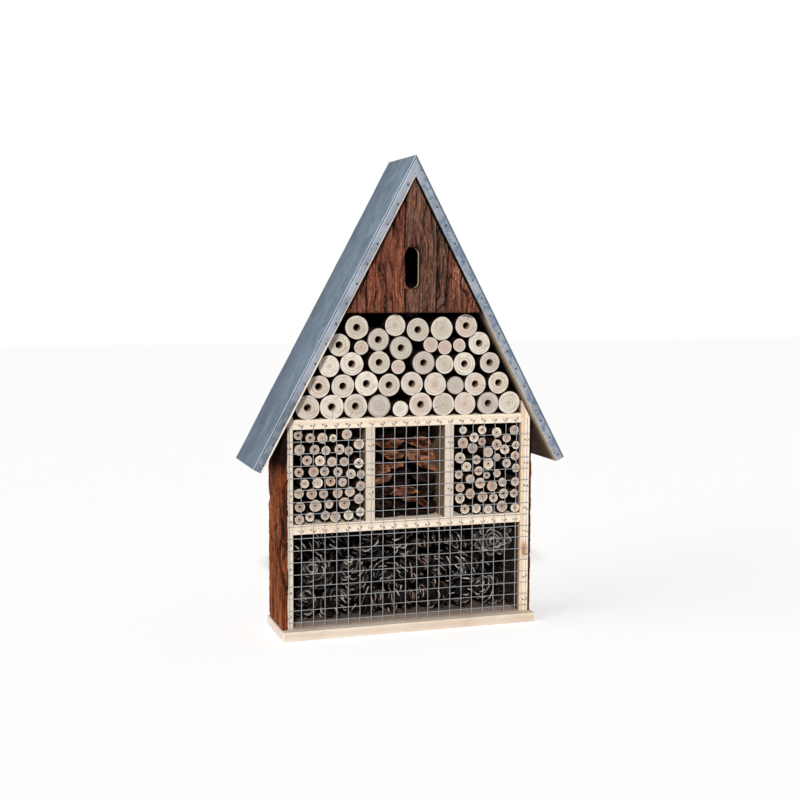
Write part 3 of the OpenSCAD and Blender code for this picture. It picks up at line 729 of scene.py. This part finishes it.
def roof_sheet(side, name):
    """A slightly dented zinc sheet with a raised bead along its front edge."""
    thick = 0.5 * MM
    groove = 0.12
    bead = [(3.4, 0), (3.0, groove), (2.6, 0.02), (2.1, -0.28), (1.5, -0.42), (0.9, -0.34), (0.5, -0.05),
            (0.3, 0.3), (0.3, 0.7), (0.3, 1.5)]
    outer = [(ROOF_BACK * t, 0) for t in (1, 0.97, 0.7, 0.4, 0.1)]
    outer += [(ROOF_FRONT * t, 0) for t in (0.2, 0.5, 0.75, 0.93)]
    outer += [(ROOF_FRONT + y * MM, inset * MM) for y, inset in bead]
    inner = [(y + (0.35 * MM if y < ROOF_FRONT + MM else 0), inset + thick) for y, inset in outer]
    rows = 110

    def shape(run, y):
        fade = min(1.0, (SLOPE_LEN - run) / 0.01, run / 0.02, (y - ROOF_FRONT) / 0.006)
        dent = 0.50 * wave(run * 22 + 3 * side, y * 30, 5) + 0.14 * wave(run * 90, y * 70, side)
        return fade * dent * MM

    def wear(inset):
        """1 on the bead, where a highlight is painted, and -1 in the groove behind it and under its lip,
        where shade is painted.
        """
        if inset < -0.3 * MM:
            return 1.0
        return -1.0 if inset > 0.5 * MM or inset == groove * MM else 0.0

    worn = [wear(inset) for y, inset in outer]
    points = slope_grid(side, rows, outer, shape) + slope_grid(side, rows, inner, shape)
    b = Build(worn=0.0)
    b.add(points, shell_faces(rows, len(outer)), worn=worn * rows + [0.0] * (rows * len(inner)))
    b.piece(name, [ZINC_TOP], [name.replace("_zinc", "_roof_sheet")], angle=50)


def fascia(side, name):
    """The zinc strip nailed to the front edge of a roof board, buckled a little between its nails."""
    cols = 9
    front = [(ROOF_FRONT, (1.2 + 7.8 * c / (cols - 1)) * MM) for c in range(cols)]
    broad_to = (RIDGE_Z - GABLE_LOW) / math.sin(ROOF_PITCH)
    grids = []
    for back in (0, 1):
        rows = 240
        grid = slope_grid(side, rows, front, lambda run, y: 0.0)
        for i, p in enumerate(grid):
            t = (i % cols) / (cols - 1)
            run = SLOPE_LEN * (i // cols) / (rows - 1)
            above = (broad_to - run) / 0.03
            broad = 1.3 * min(1.0, max(0.0, above)) if side > 0 and i >= cols else 0.0
            broad -= 0.95 * min(1.0, max(0.0, -above)) if side < 0 else 0.0
            grow = MM * t * (0.35 * wave(run * 60, 3 * side) + broad)
            p.x -= side * grow * math.sin(ROOF_PITCH)
            p.z -= grow * math.cos(ROOF_PITCH)
            buckle = t * (0.40 * wave(run * 45, t * 1.5, 3 + side) + 0.10 * wave(run * 300, t * 5, side))
            edge = 0.35 if t in (0, 1) else 0
            p.y += MM * (0.05 - 0.5 * buckle + edge * (1 - back) + 0.45 * back)
        grids.append(grid)
    b = Build(worn=0.0)
    b.add(grids[0] + grids[1], shell_faces(rows, cols))
    b.piece(name, [ZINC_EDGE], [name.replace("_strip", "_fascia")], angle=50)


def fascia_nail_heads():
    """Small domed nail heads on the zinc strips."""
    b = Build()
    for lo, hi in solids("fascia_nails"):
        x, z = face_centre(lo, hi)
        rng = seeded("nail", round(x, 4))
        radius = rng.uniform(1.05, 1.35) * MM
        profile = [(0.15, -0.75), (0.6, -0.62), (0.92, -0.3), (1.0, 0.1), (0.45, 0.3), (0.4, 4.0)]
        sides = 14
        points = []
        for r, y in profile:
            for i in range(sides):
                a = TAU * i / sides
                out = radius * r
                points.append(Vector((x + out * math.cos(a), ROOF_FRONT + y * MM, z + out * math.sin(a))))
        b.add(points, closed_rings(len(profile), sides))
    b.piece("fascia_nail_heads", [NAIL], ["fascia_nails"])


# ---- bark ----


def bark_height(u, v, seed, grooves, plates):
    """Relief from 0 to 1 at u across and v along the grain, in millimetres."""
    drift = 1.2 * wave(u * 0.05, v * 0.03, seed + 2)
    groove = 1 - abs(wave(u * 0.20 * grooves + drift, v * 0.011, seed))
    fibre = 1 - abs(wave(u * 0.55, v * 0.020, seed + 9))
    rough = noise.fractal(Vector((u * 0.5, v * 0.22, seed)), 0.8, 2.1, 4)
    plate = wave(u * 0.10, v * 0.025, seed + 4)
    crack = max(0.0, 1 - abs(wave(u * 0.11 + 0.10 * rough + drift, v * 0.014, seed + 20)) * 16) * plates
    nick = max(0.0, 1 - abs(wave(u * 0.06, v * 0.10 + 0.25 * rough, seed + 31)) * 18) * max(0, plate) * plates
    level = 0.70 - 0.75 * max(0, groove - 0.86) * 7 * 0.5 - 0.22 * max(0, fibre - 0.8) * 5
    level = level + 0.14 * rough + 0.20 * plate
    return min(1.0, max(0.0, level - 0.8 * max(crack, nick)))


def bark_sheet(b, rows, cols, ends, place, thick, seed, grooves, plates, kind, warp=None, shade=None):
    """A bark strip. ends(t) gives the two edges and the height of row t, and place(u, v, out) a point of
    the frame. warp(u, v) moves a point sideways and shade(u) is how bright its bark is."""
    front, back, level = [], [], []
    for r in range(rows):
        left, right, v = ends(r / (rows - 1))
        for c in range(cols):
            s = c / (cols - 1)
            u = left + s * (right - left)
            u = warp(u, v) if warp else u
            h = bark_height(u, v, seed, grooves, plates)
            rim = min(1.0, (min(s, 1 - s) * abs(right - left) + 0.12) / 1.8, (min(r, rows - 1 - r) + 0.3) / 3)
            round_off = math.sqrt(max(0.0, 1 - (1 - rim) ** 2))
            out = thick * (0.28 + 0.62 * h) * (0.35 + 0.65 * round_off) + 0.10 * thick
            front.append(place(u, v, out))
            back.append(place(u, v, 0.05))
            level.append(h * (0.3 + 0.7 * round_off) * (shade(u) if shade else 1.0))
    values = {"high": level + [0.1] * len(back), "kind": [kind] * (2 * len(front))}
    b.add(front + back, shell_faces(rows, cols), **values)


GABLE_EDGES = [-76, -50, -8, 27, 38.5, 76]
GABLE_THICK = [6.2, 6.8, 6.0, 5.2, 6.6]
GABLE_KIND = [0.0, 0.0, 0.75, 0.9, 0.25]
GABLE_PLATES = [0.5, 0.55, 0.25, 1.0, 0.7]
SLOT_RIM = 0.7
NOTCH_PULL = 16
GABLE_LIFT = 6.2
GABLE_CURL = 26


def gable_bark():
    """Five upright strips of bark on the gable. The second and third follow the entry slot's outline."""
    top = GABLE_TOP / MM - 0.3
    for n in range(5):
        left, right = GABLE_EDGES[n] + 0.45, GABLE_EDGES[n + 1] - 0.45
        inner = 0 if left < 0 < right else min(abs(left), abs(right))
        bottom = GABLE_LOW / MM - 0.5
        peak = top - inner * SLOPE - 0.8

        def ends(t):
            v = bottom + t * (peak - bottom)
            reach = (top - v) / SLOPE
            ragged = 0.55 * wave(v * 0.16, n * 7) + 0.25 * wave(v * 0.6, n * 5)
            a = max(left + 0.8 * wave(v * 0.12, n * 3 + 50) + ragged * 0.5, -reach)
            b_ = min(right + ragged, reach)
            return a, max(b_, a + 0.3), v + 0.6 * wave(n * 9, t * 2)

        def warp(u, v):
            off = max(0.0, abs(v - SLOT_MID) - SLOT_REACH)
            if n not in (1, 2) or off >= SLOT_RADIUS:
                return u
            notch = math.sqrt(SLOT_RADIUS ** 2 - off ** 2)
            if n == 2 and u < left + NOTCH_PULL:
                notch += SLOT_RIM + 0.3 * wave(v * 0.5, 77)
                return notch + (u - left) / NOTCH_PULL * (left + NOTCH_PULL - notch)
            if n == 1 and u > right - NOTCH_PULL:
                share = (u - right + NOTCH_PULL) / NOTCH_PULL
                return right - NOTCH_PULL + share * (NOTCH_PULL - notch - right)
            return u

        def place(u, v, out):
            inside = (top - v) / SLOPE - u
            lift = GABLE_LIFT * max(0.0, 1 - inside / GABLE_CURL) if out > 0.1 and n > 1 else 0.0
            return Vector((u * MM, BODY_FRONT - (out + lift) * MM, v * MM))

        b = Build(high=0.0, kind=0.0)
        rows = int((peak - bottom) / 0.75)
        cols = int((right - left) / 0.65)
        bark_sheet(b, rows, cols, ends, place, GABLE_THICK[n], 3.7 * n, 1.0, GABLE_PLATES[n], GABLE_KIND[n],
                   warp=warp)
        node = f"gable_bark_{n + 1}"
        b.piece(f"{node}_plate", [BARK_GABLE], [node], angle=60)


SIDE_BARK_EDGES = [-1.2, 19, 37, 60.5]
SIDE_BARK_THICK = [3.6, 3.3, 3.6]
SIDE_BARK_KIND = [0.0, 0.6, 0.05]
LAP = 5.4


def side_bark(side):
    """Three strips of bark up one side of the house, ragged where they show in outline."""
    word = "left" if side < 0 else "right"
    for n in range(3):
        front = FRONT_MM + SIDE_BARK_EDGES[n] + 0.4
        rear = FRONT_MM + SIDE_BARK_EDGES[n + 1] - 0.4
        bottom = BASE_TOP / MM + 0.1
        peak = high(f"{word}_bark_{n + 1}").z / MM
        lap = LAP if side < 0 and n == 0 else 0.0

        def ends(t):
            v = bottom + t * (peak - bottom)
            ragged = 0.9 * wave(v * 0.07, n * 3 + side) + 0.5 * wave(v * 0.4, n * 8)
            a = front - lap + ragged * (0.5 if lap else 1.0)
            b_ = rear + 0.9 * wave(v * 0.08, n * 5 + side) + 0.4 * wave(v * 0.5, n * 2)
            return a, b_, v

        def place(u, v, out):
            under_roof = (RIDGE_Z / MM - 21.2 - v) / SLOPE
            past = max(0.0, front - u) if lap else 0.0
            outer = out > 0.1
            wide = SIDE_MM + out - past * (1.0 if outer else 0.5)
            reach = min(wide, max(under_roof, SIDE_MM + 0.1 - past))
            y = front - min(past, 0.3 * out) if outer and past else u + past
            return Vector((side * reach * MM, y * MM, v * MM))

        def shade(u):
            return 0.60 + 0.40 * min(1.0, max(0.0, (u - front + 1.0) / 2.5)) if lap else 1.0

        b = Build(high=0.0, kind=0.0)
        rows = int((peak - bottom) / 0.9)
        cols = int((rear - front + lap) / 0.8)
        seed = 40 + 11 * n + 5 * side
        bark_sheet(b, rows, cols, ends, place, SIDE_BARK_THICK[n], seed, 0.8, 1.0, SIDE_BARK_KIND[n],
                   shade=shade)
        node = f"{word}_bark_{n + 1}"
        b.piece(f"{node}_plate", [BARK_SIDE], [node], angle=60)


# ---- round wood ----


BORE_RADIUS = 0.0039
BORE_DEPTH = 0.042
PITH_DEPTH = 0.016
LOG_SWELL = 1.07


def stick(b, x, z, radius, front, bore, depth, key, sides, rings, lump, kind):
    """A round stick along Y, in metres: an uneven outline, a cut face and, where bore is set, a hole."""
    rng = seeded(*key)
    phase = rng.uniform(0, 50)
    oval = rng.uniform(0, 0.5 * lump)
    turn = rng.uniform(0, TAU)
    lean = (rng.uniform(-0.02, 0.02), rng.uniform(-0.02, 0.02))
    crack_turn = rng.uniform(0, TAU)
    crack = rng.choice([0, 0, 0, 0.7]) if radius > 0.008 else 0
    pith = (rng.uniform(-0.12, 0.12) * radius, rng.uniform(-0.12, 0.12) * radius)

    def outline(a):
        c, s = math.cos(a), math.sin(a)
        uneven = wave(1.3 * c + phase, 1.3 * s) + 0.4 * wave(3.5 * c, 3.5 * s, phase)
        return radius * (1 + lump * uneven + oval * math.cos(2 * (a - turn)) - 0.25 * lump)

    points, at, rim, check = [], [], [], []

    def add_ring(radius_at, y, level, deep):
        for i in range(sides):
            a = TAU * i / sides
            r = radius_at(a)
            dx, dz = r * math.cos(a), r * math.sin(a)
            slant = lean[0] * dx + lean[1] * dz
            points.append(Vector((x + dx, y + slant, z + dz)))
            px, pz = (dx - pith[0]) / MM, (dz - pith[1]) / MM
            at.append((px, deep / MM, pz))
            rim.append(level)
            along = math.cos(crack_turn) * px + math.sin(crack_turn) * pz
            across = math.cos(crack_turn) * pz - math.sin(crack_turn) * px
            check.append((along, across, crack))

    start = bore if bore else 0.12 * radius
    if bore:
        for y in (depth, 0.6 * depth, 0.25 * depth, 0.06 * depth):
            add_ring(lambda a: bore, front + y, 0.3, y)
    edge = 0.35 * MM
    for k in range(rings + 1):
        t = k / rings
        add_ring(lambda a: start + (outline(a) - edge - start) * t, front, t, 0.0)
    face_rings = rings + (5 if bore else 1)
    add_ring(outline, front + edge, 1.0, 0.0)
    for y in (0.004, 0.014, 0.030):
        add_ring(lambda a: outline(a) * (1 + 0.04 * wave(a * 2, y * 200, phase)), front + y, 1.0, y)
    add_ring(outline, BODY_BACK - edge, 1.0, 0.02)
    skin_rings = 5
    slots = [0] * (sides * (face_rings - 1)) + [1] * (sides * skin_rings) + [0, 0]
    faces = closed_rings(face_rings + skin_rings, sides)
    b.add(points, faces, slots, at=at, rim=rim, check=check, kind=kind)


def logs():
    """Five courses of round logs in the roof room; about half of them are drilled."""
    for course in range(1, 6):
        b = Build(at=(0.0, 0.0, 0.0), rim=0.0, check=(0.0, 0.0, 0.0), kind=0.0)
        nodes = [f"drilled_logs_{course}", f"plain_logs_{course}"]
        for node in nodes:
            for n, (lo, hi) in enumerate(solids(node)):
                rng = seeded(node, n)
                radius = (hi.x - lo.x) / 2 * LOG_SWELL
                bore = BORE_RADIUS if node.startswith("drilled") else 0
                kind = rng.uniform(0.0, 0.8) if radius > 0.009 else rng.uniform(0.82, 1.0)
                x, z = face_centre(lo, hi)
                front = lo.y + rng.uniform(-0.4, 1.6) * MM
                stick(b, x, z, radius, front, bore, BORE_DEPTH, (node, n), 48, 9, 0.035, kind)
        b.piece(f"log_course_{course}", [LOG_CUT, LOG_SKIN_SHADE], nodes, angle=40)


def canes():
    """Cut canes in the two side rooms, with pith holes, no two quite alike."""
    for word in ("left", "right"):
        b = Build(at=(0.0, 0.0, 0.0), rim=0.0, check=(0.0, 0.0, 0.0), kind=0.0)
        node = f"{word}_canes"
        for n, (lo, hi) in enumerate(solids(node)):
            rng = seeded(node, n)
            swell = rng.uniform(0.98, 1.04) if word == "left" else rng.uniform(1.04, 1.10)
            radius = (hi.x - lo.x) / 2 * swell
            x, z = face_centre(lo, hi)
            front = lo.y + rng.uniform(-0.6, 3.0) * MM
            bore = rng.choice([0.5, 0.8, 1.1, 1.5]) * MM
            kind = rng.random() ** (0.75 if word == "left" else 1.4)
            stick(b, x, z, radius, front, bore, PITH_DEPTH, (node, n), 24, 4, 0.045, kind)
        b.piece(f"{word}_cane_bundle", [CANE_CUT, CANE_SKIN_SHADE], [node], angle=40)


# ---- loose fillings ----


def bark_chip(b, x, z, width, thick, tilt, front, kind, key):
    """One chunky piece of bark lying along Y, with broken ends and a flaky outline."""
    rng = seeded(*key)
    phase = rng.uniform(0, 90)
    sides, rings = 48, 16
    points, at, rim = [], [], []
    corners = rng.choice([4, 5, 5, 6])
    first = rng.uniform(0, TAU)
    flats = [(first + TAU * k / corners + rng.uniform(-0.3, 0.3), rng.uniform(0.80, 1.0))
             for k in range(corners)]
    slant = (rng.uniform(-0.30, 0.30), rng.uniform(-0.2, 0.7))
    most = abs(slant[0]) * width / 2 + abs(slant[1]) * thick / 2

    def add_ring(share, y, rough):
        for i in range(sides):
            a = TAU * i / sides
            reach = 1 / max(0.72, max(math.cos(a - turn) / away for turn, away in flats))
            px, pz = reach * math.cos(a) * width / 2, reach * math.sin(a) * thick / 2
            swell = 1 + 0.07 * wave(px * 90, pz * 160, phase + y * 25)
            swell += 0.05 * wave(px * 400, pz * 400, phase + y * 90)
            px, pz = px * swell * share, pz * swell * share
            broken = 1.2 * wave(px * 160, pz * 420, phase) + 0.5 * wave(px * 500, pz * 900, phase)
            flake = rough * broken * MM
            flake += rough * (0.7 * most + slant[0] * px + slant[1] * pz)
            points.append(Vector((x + px * math.cos(tilt) - pz * math.sin(tilt), y + flake,
                                  z + px * math.sin(tilt) + pz * math.cos(tilt))))
            at.append((px / MM, y / MM + phase, pz / MM + 30 * phase))
            rim.append(share if y < front + 3 * MM else 0.0)

    for share in (0.12, 0.35, 0.58, 0.78, 0.93):
        add_ring(share, front, 1.0)
    for k in range(rings):
        t = k / (rings - 1)
        add_ring(1.0, front + 0.0008 + t * (BODY_BACK - 0.002 - front - 0.0008), 0.5 * (1 - t))
    add_ring(0.5, BODY_BACK - 0.0012, 0.0)
    b.add(points, closed_rings(len(points) // sides, sides), at=at, kind=kind, rim=rim)


def bark_chips():
    """The middle room, filled with broken bark; each piece takes its place and tilt from a CAD solid."""
    b = Build(at=(0.0, 0.0, 0.0), kind=0.0, rim=0.0)
    for n, own in enumerate(solid_points("bark_chips")):
        flat = own[:, [0, 2]]
        centre = (flat.min(0) + flat.max(0)) / 2
        axes = np.linalg.svd(flat - centre, full_matrices=False)[2]
        long = axes[0] * math.copysign(1, axes[0][0])
        across = np.array([-long[1], long[0]])
        width = np.ptp(flat @ long)
        thick = np.ptp(flat @ across)
        tilt = math.atan2(long[1], long[0])
        front = own[:, 1].min()
        recess = (front - BODY_FRONT) / MM
        # Chips set further back get a higher kind, which paints them darker as painted shade.
        kind = min(1.0, max(0.0, (recess - 4) / 7 + seeded("chip", n).uniform(-0.15, 0.15)))
        bark_chip(b, centre[0], centre[1], width * 1.02, thick * 1.02, tilt, front, kind, ("chip", n))
    b.piece("bark_pieces", [CHIP], ["bark_chips"], angle=60)


def cone_profile(t):
    return math.sin(math.pi * min(1.0, max(0.0, t)) ** 0.75)


def pine_cone(b, centre, turn, length, width, facing, key):
    """A cone of woody scales set in a spiral round its axis. turn takes the cone's own Z to its axis."""
    rng = seeded(*key)
    kind = rng.choice([0.0, 0.0, 0.3, 1.0])
    spin = rng.uniform(0, TAU)
    count = rng.choice([52, 58, 66])
    open_ = rng.uniform(-30, -8)
    wide, deep = 7, 6
    for k in range(count):
        t = (k + 0.6) / count
        a = spin + k * GOLDEN
        radial = Vector((math.cos(a), math.sin(a), 0))
        tangent = Vector((-math.sin(a), math.cos(a), 0))
        twist = rng.uniform(-0.45, 0.45) * (0.3 if facing else 1.0)
        reach = width / 2 * max(0.30, cone_profile(0.10 + 0.86 * t))
        rise = math.radians(open_ + 92 * t + rng.uniform(-14, 14))
        ahead = radial * math.cos(rise) + Vector((0, 0, 1)) * math.sin(rise)
        up = ahead.cross(tangent)
        cosine, sine = math.cos(twist), math.sin(twist)
        tangent, up = cosine * tangent + sine * up, cosine * up - sine * tangent
        foot = Vector((0, 0, length * (t - 0.5) * 0.88)) + radial * reach * 0.22
        long = reach * 0.84
        broad = (2.7 + 2.7 * cone_profile(0.12 + 0.8 * t)) * MM * rng.uniform(0.75, 1.2)
        # Each scale's brightness differs at random; the cone that faces the front is painted lighter, with
        # less painted shade at its scales' roots.
        bright = rng.uniform(0.78, 1.08)
        bright = max(bright, 0.97) if facing else bright
        root = 0.48 if facing else 0.0
        top, under, edge = [], [], []
        for r in range(deep):
            s = r / (deep - 1)
            half = broad * (0.30 + 0.72 * math.sin(s * 1.75))
            for c in range(wide):
                w = 2 * c / (wide - 1) - 1
                round_tip = (1 - 0.30 * w * w) if r == deep - 1 else 1 - 0.12 * w * w * s
                spoon = (0.9 * s * s - 0.55 * w * w * s) * 1.3 * MM
                p = foot + ahead * (long * s * round_tip) + tangent * (half * w) - up * spoon
                lip = (0.40 + 1.00 * s ** 2.5 * (1 - 0.6 * w * w)) * MM
                top.append(centre + turn @ (p - up * lip * 0.5))
                under.append(centre + turn @ (p + up * lip * 0.5))
                edge.append((root + (1 - root) * s) * (0.92 + 0.08 * w * w) * bright)
        b.add(top + under, shell_faces(deep, wide), edge=edge + edge, kind=kind)
    core = []
    sides = 12
    for r in range(9):
        t = r / 8
        radius = width * 0.21 * math.sin(math.pi * (0.06 + 0.88 * t))
        for i in range(sides):
            a = TAU * i / sides
            p = Vector((radius * math.cos(a), radius * math.sin(a), length * (t - 0.5) * 0.9))
            core.append(centre + turn @ p)
    b.add(core, closed_rings(9, sides), edge=0.05, kind=kind)


def pine_cones():
    """Three layers of pine cones in the lower room, thrown in facing all ways."""
    for layer in ("lower", "middle", "upper"):
        node = f"pine_cones_{layer}"
        b = Build(edge=0.0, kind=0.0)
        for n, (lo, hi) in enumerate(solids(node)):
            rng = seeded(node, n)
            shift = Vector((rng.uniform(-3, 3), rng.uniform(5, 10), rng.uniform(-1, 1)))
            centre = (lo + hi) / 2 + shift * MM
            facing = layer == "upper" and n == len(solids(node)) - 1
            tipped = rng.choice([(38, 52), (55, 75), (70, 90), (70, 90)])
            lean = math.radians(rng.uniform(16, 20) if facing else rng.uniform(*tipped))
            about = math.radians(180 if facing else rng.uniform(-180, 180))
            aside = math.sin(lean)
            ahead = Vector((math.cos(about) * aside, -math.cos(lean), math.sin(about) * aside))
            turn = ahead.to_track_quat("Z", "X").to_matrix()
            length = (hi.y - lo.y) * rng.uniform(0.82, 0.94)
            width = (hi.z - lo.z) * (1.34 if facing else rng.uniform(0.90, 1.04))
            if facing:
                centre.y -= 13 * MM
            drop = length / 2 * abs(ahead.z) + width / 2 * (1 - abs(ahead.z)) * 0.9
            floor_z, roof_z = BASE_TOP, low("lower_shelf").z
            centre.z = min(max(centre.z, floor_z + drop * 0.96), roof_z - drop * 0.96)
            pine_cone(b, centre, turn, length, width, facing, (node, n))
        b.piece(f"{layer}_cone_layer", [CONE], [node], angle=40)


# ---- wire mesh ----


WIRE_THIN = 0.80


def wire_mesh():
    """The welded mesh: upright wires in front of cross wires, each a little out of true."""
    b = Build()
    uprights = solids("mesh_uprights")
    crosses = solids("mesh_cross_wires")
    pitch = (max(lo.x for lo, hi in uprights) - min(lo.x for lo, hi in uprights)) / (len(uprights) - 1)
    levels = sorted((lo.z + hi.z) / 2 for lo, hi in crosses)
    for lo, hi in uprights:
        x, y = (lo.x + hi.x) / 2, (lo.y + hi.y) / 2
        radius = (hi.x - lo.x) / 2 * WIRE_THIN
        steps = int((hi.z - lo.z) / pitch * 4)
        path = []
        for k in range(steps + 1):
            z = lo.z + (hi.z - lo.z) * k / steps
            near = min(abs(z - level) for level in levels) / pitch
            bow = 0.16 * MM * math.cos(math.pi * min(0.5, near) * 2)
            path.append(Vector((x + 0.35 * MM * wave(z * 14, x * 90), y + bow - 0.10 * MM, z)))
        tube(b, path, radius, sides=8)
    for lo, hi in crosses:
        z, y = (lo.z + hi.z) / 2, (lo.y + hi.y) / 2
        radius = (hi.z - lo.z) / 2 * WIRE_THIN
        steps = int((hi.x - lo.x) / pitch * 4)
        path = []
        for k in range(steps + 1):
            x = lo.x + (hi.x - lo.x) * k / steps
            path.append(Vector((x, y - 0.12 * MM * math.cos(TAU * (x - uprights[0][0].x - radius) / pitch),
                                z + 0.40 * MM * wave(x * 12, z * 90, 4))))
        tube(b, path, radius, sides=8)
    b.piece("wire_mesh", [WIRE], ["mesh_uprights", "mesh_cross_wires"], angle=60)


def staples():
    """Staples over the mesh wires, each driven in at its own slant, with a dark pit round each leg."""
    b = Build()
    for n, (lo, hi) in enumerate(solids("mesh_staples")):
        rng = seeded("staple", n)
        x, z = face_centre(lo, hi)
        half = (hi.x - lo.x) / 2 * rng.uniform(0.62, 0.82)
        slant = math.radians(rng.uniform(-40, 40))
        radius = 0.27 * MM
        crown = lo.y + radius
        path = []
        for u, y in ((-1, 0.004), (-1, 0.0006), (-0.86, 0.0001), (-0.5, 0.0), (0, -0.0001),
                     (0.5, 0.0), (0.86, 0.0001), (1, 0.0006), (1, 0.004)):
            path.append(Vector((x + u * half * math.cos(slant), crown + y, z + u * half * math.sin(slant))))
        tube(b, path, radius, sides=6)
        for u in (-1, 1):
            pit = Vector((x + u * half * math.cos(slant), BODY_FRONT, z + u * half * math.sin(slant)))
            size = rng.uniform(0.55, 0.9) * MM
            ring = []
            for y, r in ((-0.08, 0.75), (-0.02, 1.0), (0.5, 0.8)):
                for i in range(10):
                    a = TAU * i / 10
                    r_ = size * r * (1 + 0.3 * wave(a, n, u))
                    ring.append(pit + Vector((r_ * math.cos(a), y * MM, r_ * math.sin(a))))
            b.add(ring, closed_rings(3, 10), slot=1)
    b.piece("bent_staples", [STAPLE, PIT], ["mesh_staples"], angle=60)


def hanger_screws():
    """Countersunk screws of the hanger with a slot across each head."""
    b = Build()
    for n, (lo, hi) in enumerate(solids("hanger_screws")):
        x, z = face_centre(lo, hi)
        radius = (hi.x - lo.x) / 2
        turn = seeded("screw", n).uniform(0, math.pi)
        sides = 32
        half_slot = 0.45 * MM
        points = []
        profile = [(0.2, 0.0), (0.55, 0.0), (0.85, -0.15), (1.0, -0.5), (0.55, -1.6), (0.5, -4)]
        for r, y in profile:
            for i in range(sides):
                a = TAU * i / sides
                dx, dz = radius * r * math.cos(a), radius * r * math.sin(a)
                off = abs(dz * math.cos(turn) - dx * math.sin(turn))
                sink = 0.7 * MM if off < half_slot and r < 1 and y > -1 else 0
                points.append(Vector((x + dx, hi.y + y * MM - sink, z + dz)))
        b.add(points, closed_rings(len(profile), sides))
    b.piece("slotted_screws", [HANGER], ["hanger_screws"])


# ---- stage ----


# The view fitted to the photo: angles in degrees, lens and sensor in millimetres, place in metres.
CAMERA_YAW = 18.235
CAMERA_PITCH = -5.381
CAMERA_ROLL = 0.254
CAMERA_LENS = 57.79
CAMERA_SENSOR = 36
CAMERA_PLACE = (-0.4346, -1.3145, 0.3754)
FLOOR_REACH = 6


def camera():
    """The photograph's view: the camera stands to the left of the house and looks slightly down."""
    yaw, pitch, roll = (math.radians(angle) for angle in (CAMERA_YAW, CAMERA_PITCH, CAMERA_ROLL))
    ahead = Vector((math.sin(yaw) * math.cos(pitch), math.cos(yaw) * math.cos(pitch), math.sin(pitch)))
    level = Vector((math.cos(yaw), -math.sin(yaw), 0))
    up = level.cross(ahead)
    right = math.cos(roll) * level + math.sin(roll) * up
    up = -math.sin(roll) * level + math.cos(roll) * up
    data = bpy.data.cameras.new("camera")
    data.lens = CAMERA_LENS
    data.sensor_width = CAMERA_SENSOR
    data.clip_start = 0.05
    ob = bpy.data.objects.new("camera", data)
    turn = Matrix((right, up, -ahead)).transposed().to_4x4()
    ob.matrix_world = Matrix.Translation(CAMERA_PLACE) @ turn
    bpy.context.scene.collection.objects.link(ob)
    bpy.context.scene.camera = ob


def lamp(name, energy, spread, colour, away):
    """A sun that is spread degrees across; away points from the house to it."""
    sun = bpy.data.lights.new(name, "SUN")
    sun.energy = energy
    sun.angle = math.radians(spread)
    sun.color = colour
    ob = bpy.data.objects.new(name, sun)
    ob.rotation_euler = Vector(away).to_track_quat("Z", "Y").to_euler()
    bpy.context.scene.collection.objects.link(ob)


def stage():
    """A pale floor under a pale sky, a key light from above the camera and a softer one from the left."""
    floor = bpy.data.meshes.new("floor")
    corners = [(FLOOR_REACH * x, FLOOR_REACH * y, 0) for x, y in ((-1, -1), (1, -1), (1, 1), (-1, 1))]
    floor.from_pydata(corners, [], [(0, 1, 2, 3)])
    k = Look("floor")
    k.surface((0.90, 0.91, 0.93), 0.95)
    floor.materials.append(k.material)
    ob = bpy.data.objects.new("floor", floor)
    bpy.context.scene.collection.objects.link(ob)
    world = bpy.data.worlds.new("world")
    world.use_nodes = True
    bpy.context.scene.world = world
    tree = world.node_tree
    tree.nodes["Background"].inputs["Color"].default_value = (1, 1, 1, 1)
    tree.nodes["Background"].inputs["Strength"].default_value = 0.22
    seen = tree.nodes.new("ShaderNodeBackground")
    seen.inputs["Color"].default_value = (1, 1, 1, 1)
    seen.inputs["Strength"].default_value = 1.0
    path = tree.nodes.new("ShaderNodeLightPath")
    share = tree.nodes.new("ShaderNodeMixShader")
    tree.links.new(path.outputs["Is Camera Ray"], share.inputs[0])
    tree.links.new(tree.nodes["Background"].outputs[0], share.inputs[1])
    tree.links.new(seen.outputs[0], share.inputs[2])
    tree.links.new(share.outputs[0], tree.nodes["World Output"].inputs[0])
    lamp("key", 4.75, 7, (1.0, 0.975, 0.94), (-0.282, -0.819, 0.5))
    lamp("fill", 1.4, 50, (1.0, 1.0, 1.0), (-0.95, -0.15, 0.30))
    bpy.context.scene.view_settings.view_transform = "Standard"


camera()
stage()
dress_cad()
for side_, word_ in ((-1, "left"), (1, "right")):
    roof_sheet(side_, f"{word_}_zinc")
    fascia(side_, f"{word_}_strip")
    side_bark(side_)
fascia_nail_heads()
gable_bark()
logs()
canes()
bark_chips()
pine_cones()
wire_mesh()
staples()
hanger_screws()
